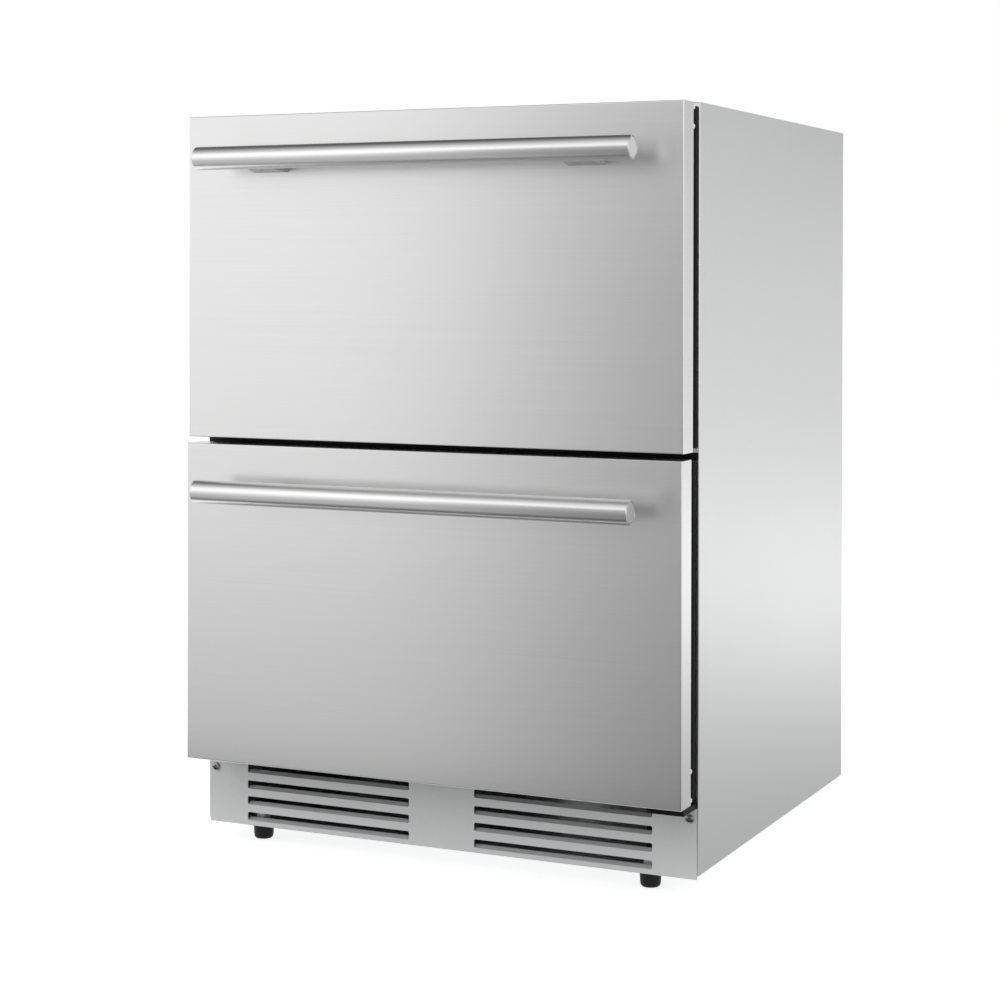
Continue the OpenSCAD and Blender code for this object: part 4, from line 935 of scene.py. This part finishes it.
def make_compressor():
    """Drawn steel shell with its weld, terminal cover, pipe stubs and foot plate."""
    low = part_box("compressor")[0]
    centre, tall = shell_place()
    radius, bend, dome, height = 72, 16, 44, tall / MM
    profile = [(0, 0), (radius - bend, 0)]
    profile += [(radius - bend + bend * math.sin(a), bend - bend * math.cos(a))
                for a in map(math.radians, range(15, 91, 15))]
    profile += [(radius + out, height * 0.43 + up)
                for out, up in ((0, -2), (2.5, -1), (4, 1), (4, 3), (2.5, 5), (0, 6))]
    profile += [(radius / 2 * (1 + math.cos(a)), height - dome + dome * math.sin(a))
                for a in map(math.radians, range(0, 91, 10))]
    bm = bmesh.new()
    add_turned(bm, profile + [(0, height)], Matrix.Translation(centre), 72)
    add_block(bm, (centre.x - 80 * MM, centre.y - 58 * MM, low.z),
              (centre.x + 80 * MM, centre.y + 58 * MM, centre.z), 1 * MM)
    for share, behind in (DISCHARGE_STUB, SUCTION_STUB):
        start = (centre.x - 60 * MM, centre.y + behind, centre.z + share * tall)
        add_rod(bm, start, (-1, 0, 0), 30 * MM, 5 * MM)
    add_block(bm, (centre.x - 26 * MM, low.y, centre.z + 40 * MM),
              (centre.x + 26 * MM, centre.y - 60 * MM, centre.z + 92 * MM), 4 * MM, 3)
    close_piece(bm, "compressor_shell", "cabinet", "black_paint", stands_for=("compressor",))


def make_mounts():
    """Rubber bush, washer and bolt head under each corner of the compressor's plate."""
    rubber = bmesh.new()
    steel = bmesh.new()
    for low, high in node_parts("compressor_mounts"):
        if high.x - low.x < 20 * MM:
            continue
        middle = (low + high) / 2
        place = Matrix.Translation((middle.x, middle.y, low.z))
        add_turned(rubber, [(3.1, 0), (11, 0), (12, 1), (12, 4.5), (10, 6.5), (9.3, 8), (10, 9.5), (12, 11.5),
                            (12, 15), (11, 16), (3.1, 16), (3.1, 0)], place, 32)
        add_turned(steel, [(0, 19), (8, 19), (8.2, 19.4), (8, 20.2), (5.6, 20.2), (5.4, 22.6), (4.6, 23),
                           (0, 23)], place, 24)
        add_turned(steel, [(0, -2), (3, -2), (3, 19), (0, 19)], place, 16)
    close_piece(rubber, "compressor_bushes", "cabinet", "seal_rubber", stands_for=("compressor_mounts",))
    close_piece(steel, "compressor_bolts", "cabinet", "screw_steel")


def serpentine(start, run, rise, axis):
    """Path of a tube that goes to and fro, each row higher than the one before, with round bends."""
    steps = []
    for row in range(TUBE_ROWS):
        here, there, way = (0, run, 1) if row % 2 == 0 else (run, 0, -1)
        steps += [(here, row * rise), (there, row * rise)]
        if row < TUBE_ROWS - 1:
            steps += [(there + way * rise / 2 * math.sin(a), row * rise + rise / 2 * (1 - math.cos(a)))
                      for a in (math.pi * step / 8 for step in range(1, 8))]
    path = [Vector(start) + Vector((0, 0, up)) for _, up in steps]
    for point, (along, _) in zip(path, steps):
        point[axis] += along
    return path


def make_fins(coil, middles, across, height, axis):
    """Thin wavy fins whose waves stand across the air's way: axis is the one that they face."""
    bm = bmesh.new()
    for middle in middles:
        older = set(bm.verts)
        bmesh.ops.create_grid(bm, x_segments=12, y_segments=2, size=0.5)
        for vert in newer(bm, older):
            shift = Vector((vert.co.x * across, vert.co.x * across, vert.co.y * height))
            shift[axis] = 0.5 * MM * math.cos(vert.co.x * 4 * math.tau)
            vert.co = Vector(middle) + shift
    piece = close_piece(bm, coil + "_fins", "cabinet", "coil_aluminium", smooth=60, turn_out=False)
    thicken(piece, FIN)


def make_condenser():
    low, high, middle = box_size("condenser")
    first = low.z + 31 * MM
    front, rear = low.y + CONDENSER_TUBE_Y, high.y - 24 * MM
    tubes = bmesh.new()
    for side in (-1, 1):
        start = (middle.x + side * CONDENSER_TUBE_X, front, first)
        add_pipe(tubes, serpentine(start, rear - front, 30 * MM, 1), TUBE_RADIUS)
    close_piece(tubes, "condenser_tubes", "cabinet", "copper", stands_for=("condenser",), smooth=60)
    fin_z = (high.z + first - 15 * MM) / 2
    places = [(middle.x, y, fin_z) for y in spaced(front + 10 * MM, rear - 10 * MM, 31)]
    make_fins("condenser", places, high.x - low.x, high.z - first + 15 * MM, 1)
    plates = bmesh.new()
    for y in (front + 3 * MM, rear - 4 * MM):
        add_block(plates, (low.x, y, low.z), (high.x, y + MM, high.z), 0.4 * MM)
    close_piece(plates, "condenser_end_plates", "cabinet", "zinc_steel")


def make_evaporator():
    low, high, middle = box_size("evaporator")
    half = (high.x - low.x) / 2 - EVAPORATOR_BEND
    tube_y = low.y + EVAPORATOR_TUBE_Y
    tubes = bmesh.new()
    path = serpentine((-half, tube_y, low.z + EVAPORATOR_TUBE_Z), 2 * half, EVAPORATOR_RISE, 0)
    add_pipe(tubes, path, TUBE_RADIUS)
    close_piece(tubes, "evaporator_tubes", "cabinet", "coil_aluminium", stands_for=("evaporator",), smooth=60)
    places = [(x, tube_y, middle.z) for x in spaced(12 * MM - half, half - 12 * MM, 35)]
    make_fins("evaporator", places, 26 * MM, high.z - low.z, 0)
    plates = bmesh.new()
    for x in (4 * MM - half, half - 4 * MM):
        add_block(plates, (x - MM / 2, tube_y - 13 * MM, low.z), (x + MM / 2, high.y, high.z), 0.4 * MM)
    close_piece(plates, "evaporator_end_plates", "cabinet", "coil_aluminium")


def make_lines():
    """Copper lines between compressor, condenser, drier and evaporator, bent round at their corners."""
    centre, tall = shell_place()
    coil_low, coil_high, coil = box_size("condenser")
    drier_low, drier_high, drier = box_size("filter_drier")
    cold_low, cold_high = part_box("evaporator")
    line_low, line_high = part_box("refrigerant_lines")
    line_y, riser_y = line_low.y + LINE_RADIUS, line_high.y - LINE_RADIUS
    stub_x = centre.x - 90 * MM
    line_x = stub_x - 40 * MM
    out_y, back_y = centre.y + DISCHARGE_STUB[1], centre.y + SUCTION_STUB[1]
    out_z, back_z = centre.z + DISCHARGE_STUB[0] * tall, centre.z + SUCTION_STUB[0] * tall
    riser_x = line_x + 20 * MM
    inlet_x, outlet_x = coil.x + CONDENSER_TUBE_X, coil.x - CONDENSER_TUBE_X
    coil_y, coil_z = coil_low.y + CONDENSER_TUBE_Y, coil_high.z - 16 * MM
    half = cold_high.x - EVAPORATOR_BEND
    wide = half + 25 * MM
    cold_y = cold_low.y + EVAPORATOR_TUBE_Y
    first, last = cold_low.z + EVAPORATOR_TUBE_Z, cold_high.z - EVAPORATOR_TUBE_Z
    over, above = coil_z + 40 * MM, coil_z + 60 * MM
    before_drier = drier_low.y - 5 * MM
    side_z = 0.314
    cross_z = side_z + 8 * MM
    discharge = [(stub_x, out_y, out_z), (line_x, out_y, out_z), (line_x, line_y, out_z),
                 (line_x, line_y, over), (inlet_x, line_y, over), (inlet_x, line_y, coil_z),
                 (inlet_x, coil_y, coil_z)]
    liquid = [(outlet_x, coil_y, coil_z), (outlet_x, line_y, coil_z), (outlet_x, line_y, above),
              (outlet_x, before_drier, above), (drier.x, before_drier, above),
              (drier.x, before_drier, drier.z), (drier.x, drier_low.y, drier.z)]
    suction = [(half, cold_y, last), (wide, cold_y, last), (wide, riser_y, last), (wide, riser_y, cross_z),
               (riser_x, riser_y, cross_z), (riser_x, riser_y, back_z), (riser_x, back_y, back_z),
               (stub_x, back_y, back_z)]
    capillary = [(drier.x, drier_high.y, drier.z), (drier.x, riser_y, drier.z), (drier.x, riser_y, side_z),
                 (-wide, riser_y, side_z), (-wide, riser_y, first), (-wide, cold_y, first),
                 (-half, cold_y, first)]
    bm = bmesh.new()
    for line, bend in ((discharge, 8 * MM), (liquid, 2.4 * MM), (suction, 8 * MM)):
        add_pipe(bm, round_corners(line, bend), LINE_RADIUS)
    add_pipe(bm, round_corners(capillary, 6 * MM), LINE_RADIUS / 2, 8)
    close_piece(bm, "copper_lines", "cabinet", "copper", stands_for=("refrigerant_lines",), smooth=60)


def make_drier():
    """Copper cartridge with drawn-in ends and a bead next to each."""
    place, length, radius = lying_along((0, 1, 0), "filter_drier")
    half = [(0, 0), (3.6, 0), (3.8, 3), (radius * 0.8, 8), (radius, 12), (radius, 18), (radius * 0.93, 19),
            (radius * 0.93, 20.5), (radius, 21.5)]
    bm = bmesh.new()
    add_turned(bm, mirrored(half, length), place, 32)
    close_piece(bm, "drier_cartridge", "cabinet", "copper", stands_for=("filter_drier",))


def make_drain_tray():
    """Open tray with rounded corners and leaning sides, on a boss that stands on the compressor."""
    low, high, middle = box_size("drain_pan")
    bottom = low.z + 13 * MM
    tray = bmesh.new()
    add_block(tray, (low.x, low.y, bottom), high)
    for vert in (v for v in tray.verts if v.co.z < bottom + MM):
        vert.co.x -= math.copysign(3 * MM, vert.co.x - middle.x)
        vert.co.y -= math.copysign(3 * MM, vert.co.y - middle.y)
    open_form(tray, 6 * MM, 4)
    turn_shell(tray)
    piece = close_piece(tray, "drain_tray", "cabinet", "white_plastic", stands_for=("drain_pan",),
                        smooth=50, turn_out=False)
    thicken(piece, 2 * MM)
    boss = bmesh.new()
    crown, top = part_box("compressor")[1].z / MM, bottom / MM
    add_turned(boss, [(0, crown), (28, crown), (30, crown + 2), (33, top), (0, top)],
               Matrix.Translation((middle.x, middle.y, 0)), 32)
    close_piece(boss, "drain_tray_boss", "cabinet", "white_plastic")


def make_drain_hose(rings=12):
    """Ribbed hose from the cold space to the tray."""
    low, high, middle = box_size("drain_tube")
    bottom, top = low.z / MM, high.z / MM
    step = (top - bottom - 20) / rings
    profile = [(6, bottom)]
    for i in range(rings):
        at = bottom + 8 + i * step
        profile += [(6, at), (5.2, at + step * 0.35), (5.2, at + step * 0.5), (6, at + step * 0.85)]
    profile += [(6, top), (4.5, top), (4.5, bottom), (6, bottom)]
    bm = bmesh.new()
    add_turned(bm, profile, Matrix.Translation((middle.x, middle.y, 0)), 24)
    close_piece(bm, "drain_hose", "cabinet", "black_plastic", stands_for=("drain_tube",), smooth=50)


def make_control_box():
    """Closed case with six raised ribs on its left side."""
    low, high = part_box("control_box")
    bm = bmesh.new()
    add_block(bm, low, high, 2.5 * MM, 3)
    for i in range(6):
        z = low.z + 18 * MM + i * 10 * MM
        add_block(bm, (low.x - 0.8 * MM, low.y + 8 * MM, z),
                  (low.x + MM, high.y - 8 * MM, z + 4 * MM), 0.7 * MM)
    close_piece(bm, "control_box_case", "cabinet", "white_plastic", stands_for=("control_box",))


def make_gland(ribs=16):
    """Gland of the cord: flanged sleeve with grip ribs round it."""
    place, _, _ = lying_along((0, 1, 0), "cord_gland")
    bm = bmesh.new()
    add_turned(bm, [(4, 0), (8.6, 0), (9.6, 1), (9.6, 14), (10, 15), (13, 15), (13.5, 15.6), (13.5, 17.2),
                    (12.8, 18), (6, 18), (5, 17.4), (4, 16), (4, 0)], place)
    for i in range(ribs):
        older = set(bm.verts)
        add_block(bm, (9.2, -0.7, 2), (10, 0.7, 13), 0.25, 1)
        turned = place @ Matrix.Rotation(i * math.tau / ribs, 4, "Z") @ Matrix.Scale(MM, 4)
        bmesh.ops.transform(bm, matrix=turned, verts=newer(bm, older))
    close_piece(bm, "cord_gland_ring", "cabinet", "black_plastic", stands_for=("cord_gland",))


def make_back_ribs():
    """Pressed stiffening ribs of the back sheet."""
    low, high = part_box("back_panel")
    bm = bmesh.new()
    for share in (0.2, 0.5, 0.8):
        z = low.z + share * (high.z - low.z)
        add_block(bm, (low.x + 60 * MM, high.y - 0.4 * MM, z - 9 * MM),
                  (high.x - 60 * MM, high.y + 1.6 * MM, z + 9 * MM), 1.5 * MM, 4)
    close_piece(bm, "back_ribs", "cabinet", "zinc_steel")


# ---------- all pieces ----------

bars = [make_bar(drawer) for drawer in ("upper", "lower")]
for drawer in ("upper", "lower"):
    make_front(drawer)
    make_seal(drawer)
    make_inner_cover(drawer)
    make_posts(drawer)
    make_seal_screws(drawer)
    make_slides(drawer)
make_panel_screws()
make_upper_tub()
make_lower_tub()
make_fan("condenser_fan", "condenser_fan_body", "black_plastic", (1, 0, 0), 18)
make_fan("evaporator_fan", "evaporator_fan_body", "white_plastic", (0, 1, 0), 12)
for foot in ("front_left", "front_right", "rear_left", "rear_right"):
    make_foot(foot + "_foot")
make_compressor()
make_mounts()
make_condenser()
make_evaporator()
make_lines()
make_drier()
make_motor("condenser_fan_motor", "zinc_steel", (1, 0, 0))
make_motor("evaporator_fan_motor", "black_plastic", (0, 1, 0))
make_drain_tray()
make_drain_hose()
make_control_box()
make_gland()
make_back_ribs()
make_fan_guard()
make_control_panel()
make_lamp()
for node in ("side_panel_left", "side_panel_right"):
    soften(node, node + "_soft", "cabinet", "side_steel", 0.45 * MM, fold=1.0 * MM)
for node, slot, rounding in (
    ("top_panel", "side_steel", 0.45 * MM), ("base_pan", "zinc_steel", 0.3 * MM),
    ("step_plate", "zinc_steel", 0.3 * MM), ("cabinet_liner", "white_plastic", 0.6 * MM),
    ("fan_shroud", "black_plastic", 0.6 * MM), ("kick_grille", "grille_paint", 0.9 * MM),
    ("back_panel", "zinc_steel", 0.3 * MM), ("rear_grille", "zinc_steel", 0.3 * MM),
    ("corner_bracket", "black_paint", 1.0 * MM), ("breaker_frame", "black_plastic", 0.8 * MM),
    ("mullion_bar", "black_plastic", 0.8 * MM), ("evaporator_cover", "white_plastic", 0.5 * MM),
):
    soften(node, node + "_soft", "cabinet", slot, rounding)


# ---------- stage, light and camera ----------

WORLD_FILL = 0.55
FLOOR_PAPER = (0.8, 0.8, 0.8, 1)
# The floor that the camera sees is a darker paper that glows, so that its shadow stays pale.
FLOOR_SHADE = (0.40, 0.40, 0.40, 1)
FLOOR_GLOW = 0.80


def white_backdrop(tree, shader_output, lit, level):
    """Level of white where the camera, a gloss or a clear piece looks, and the lit shader elsewhere."""
    path = add_node(tree, "ShaderNodeLightPath")
    seen = add_node(tree, "ShaderNodeMath", operation="MAXIMUM")
    shown = add_node(tree, "ShaderNodeMath", operation="MAXIMUM")
    mix = add_node(tree, "ShaderNodeMixShader")
    link(tree, (path.outputs["Is Camera Ray"], seen.inputs[0]),
         (path.outputs["Is Glossy Ray"], seen.inputs[1]), (seen.outputs[0], shown.inputs[0]),
         (path.outputs["Is Transmission Ray"], shown.inputs[1]), (shown.outputs[0], mix.inputs["Fac"]),
         (lit, mix.inputs[1]), (level, mix.inputs[2]),
         (mix.outputs["Shader"], shader_output))


def make_world():
    world = bpy.data.worlds.new("studio")
    bpy.context.scene.world = world
    world.use_nodes = True
    tree = world.node_tree
    soft = tree.nodes["Background"]
    soft.inputs["Color"].default_value = (1, 1, 1, 1)
    soft.inputs["Strength"].default_value = WORLD_FILL
    white = add_node(tree, "ShaderNodeBackground", {"Color": (1, 1, 1, 1), "Strength": 1.0})
    white_backdrop(tree, tree.nodes["World Output"].inputs["Surface"], soft.outputs[0], white.outputs[0])


def stage_sheet(bm, name, paper):
    """Sheet that belongs to the stage: gives the object, its material, its node tree and its output."""
    sheet = add_object(name, new_mesh(bm, name))
    finish = bpy.data.materials.new(paper)
    finish.use_nodes = True
    tree = finish.node_tree
    tree.nodes.remove(tree.nodes["Principled BSDF"])
    sheet.data.materials.append(finish)
    return sheet, finish, tree, tree.nodes["Material Output"].inputs["Surface"]


def make_floor():
    bm = bmesh.new()
    bmesh.ops.create_grid(bm, x_segments=1, y_segments=1, size=12)
    floor, _, tree, surface = stage_sheet(bm, "floor", "floor_paper")
    paper = add_node(tree, "ShaderNodeBsdfDiffuse", {"Color": FLOOR_PAPER})
    shade = add_node(tree, "ShaderNodeBsdfDiffuse", {"Color": FLOOR_SHADE})
    glow = add_node(tree, "ShaderNodeEmission", {"Strength": FLOOR_GLOW})
    both = add_node(tree, "ShaderNodeAddShader")
    link(tree, (shade.outputs[0], both.inputs[0]), (glow.outputs[0], both.inputs[1]))
    white_backdrop(tree, surface, paper.outputs[0], both.outputs[0])


def add_softbox(name, place, aim, size, power, mirrored_by=()):
    """Soft lamp that shiny pieces don't mirror, or that lights and shows only in the pieces given."""
    light = bpy.data.lights.new(name, "AREA")
    light.shape = "RECTANGLE"
    light.size, light.size_y = size
    light.energy = power
    lamp = add_object(name, light)
    lamp.location = place
    lamp.rotation_euler = (Vector(aim) - Vector(place)).to_track_quat("-Z", "Y").to_euler()
    lamp.visible_glossy = bool(mirrored_by)
    if mirrored_by:
        group = bpy.data.collections.new(name + "_pieces")
        for piece in mirrored_by:
            group.objects.link(piece)
        lamp.light_linking.receiver_collection = group


def add_card(name, low, high, upright, tone, way, start, full):
    """Grey card out of the picture that only shiny faces see. It grows from nothing to its full tone
    along a direction, from the place start on it to the place full."""
    bm = bmesh.new()
    low, high = Vector(low), Vector(high)
    width, deep, tall = high - low
    turn = Matrix.Rotation(math.radians(90), 4, "X") if upright else Matrix.Identity(4)
    spread_out = Matrix.Diagonal((width, tall if upright else deep, 1, 1))
    at = Matrix.Translation((low + high) / 2) @ turn @ spread_out
    bmesh.ops.create_grid(bm, x_segments=1, y_segments=1, size=0.5, matrix=at)
    card, finish, tree, surface = stage_sheet(bm, name, name + "_paper")
    place = add_node(tree, "ShaderNodeTexCoord")
    along = add_node(tree, "ShaderNodeVectorMath", operation="DOT_PRODUCT")
    along.inputs[1].default_value = way
    grade = add_node(tree, "ShaderNodeMapRange", {"From Min": start, "From Max": full},
                     interpolation_type="SMOOTHSTEP")
    clear = add_node(tree, "ShaderNodeBsdfTransparent")
    grey = add_node(tree, "ShaderNodeEmission", {"Strength": tone})
    mix = add_node(tree, "ShaderNodeMixShader")
    link(tree, (place.outputs["Object"], along.inputs[0]), (along.outputs["Value"], grade.inputs["Value"]),
         (grade.outputs["Result"], mix.inputs["Fac"]), (clear.outputs[0], mix.inputs[1]),
         (grey.outputs[0], mix.inputs[2]), (mix.outputs["Shader"], surface))
    finish.cycles.emission_sampling = "NONE"
    card.visible_camera = False
    card.visible_diffuse = False
    card.visible_shadow = False
    card.visible_transmission = False


def make_camera():
    """The photo's camera."""
    camera = bpy.data.cameras.new("photo_camera")
    camera.sensor_width = 36
    camera.lens = 79.20
    camera.shift_x = 0
    camera.shift_y = -0.1987
    camera.clip_start = 0.1
    camera.clip_end = 100
    eye = add_object("photo_camera", camera)
    eye.location = (1.0828, -2.3754, 0.6416)
    eye.rotation_euler = (math.radians(89.5135), math.radians(-0.0968), math.radians(25.0785))
    bpy.context.scene.camera = eye


# Name, place, aim, size in metres, power in watts, and the only pieces that mirror it.
SOFTBOXES = (
    ("left_softbox", (-2.6, -2.2, 2.0), (0, 0, 0.45), (1.6, 2.4), 45),
    ("right_softbox", (3.0, 1.4, 1.8), (0.2, 0, 0.45), (1.6, 2.4), 45),
    ("top_softbox", (0, -0.5, 3.2), (0, 0, 0.4), (2.4, 2.4), 30),
    ("front_softbox", (-1.1, -2.25, 1.45), (0, -0.3, 0.7), (2.2, 1.3), 4.0, bars),
)
# Name, low and high corner, upright or lying, full tone, and the direction and places of its growth.
CARDS = (
    ("right_front_card", (-1.2, -2.1, 0), (0.5, -2.1, 1.2), True, 0.34, (1, 0, 0), -0.93, -0.47),
    ("far_right_card", (0.5, -2.1, 0), (2.4, -2.1, 0.42), True, 0.34, (1, 0, 0), -9, -8),
    ("low_card", (-6.0, -8.0, 0.004), (4.0, -0.30, 0.004), False, 0.56, (0, 1, 0), -6.5, -0.6),
    ("right_low_card", (-3.0, -6.0, 0.008), (3.0, -0.30, 0.008), False, 0.25, (0.92, -0.39, 0), 0, 0.45),
    ("near_card", (-1.6, -0.62, 0.012), (1.6, -0.30, 0.012), False, 0.05, (0, 1, 0), -0.62, -0.4),
    ("ceiling_card", (-3.0, -3.0, 2.6), (3.0, 3.0, 2.6), False, 0.07, (0, 1, 0), -2.6, 0.6),
    ("rear_card", (-0.6, 4.2, 0), (6.0, 4.2, 2.6), True, 0.75, (1, 0, 0), -9, -8),
    ("high_rear_card", (-0.5, 2.3, 0.5), (1.4, 2.3, 2.6), True, 0.30, (0, 0, 1), 0.5, 1.5),
    ("right_floor_card", (0.302, -0.6, 0.006), (3.0, 3.6, 0.006), False, 0.49, (-0.35, -0.94, 0), -2.6, 0.0),
)

make_world()
make_floor()
for softbox in SOFTBOXES:
    add_softbox(*softbox)
for card in CARDS:
    add_card(*card)
make_camera()
bpy.context.scene.view_settings.view_transform = "Standard"
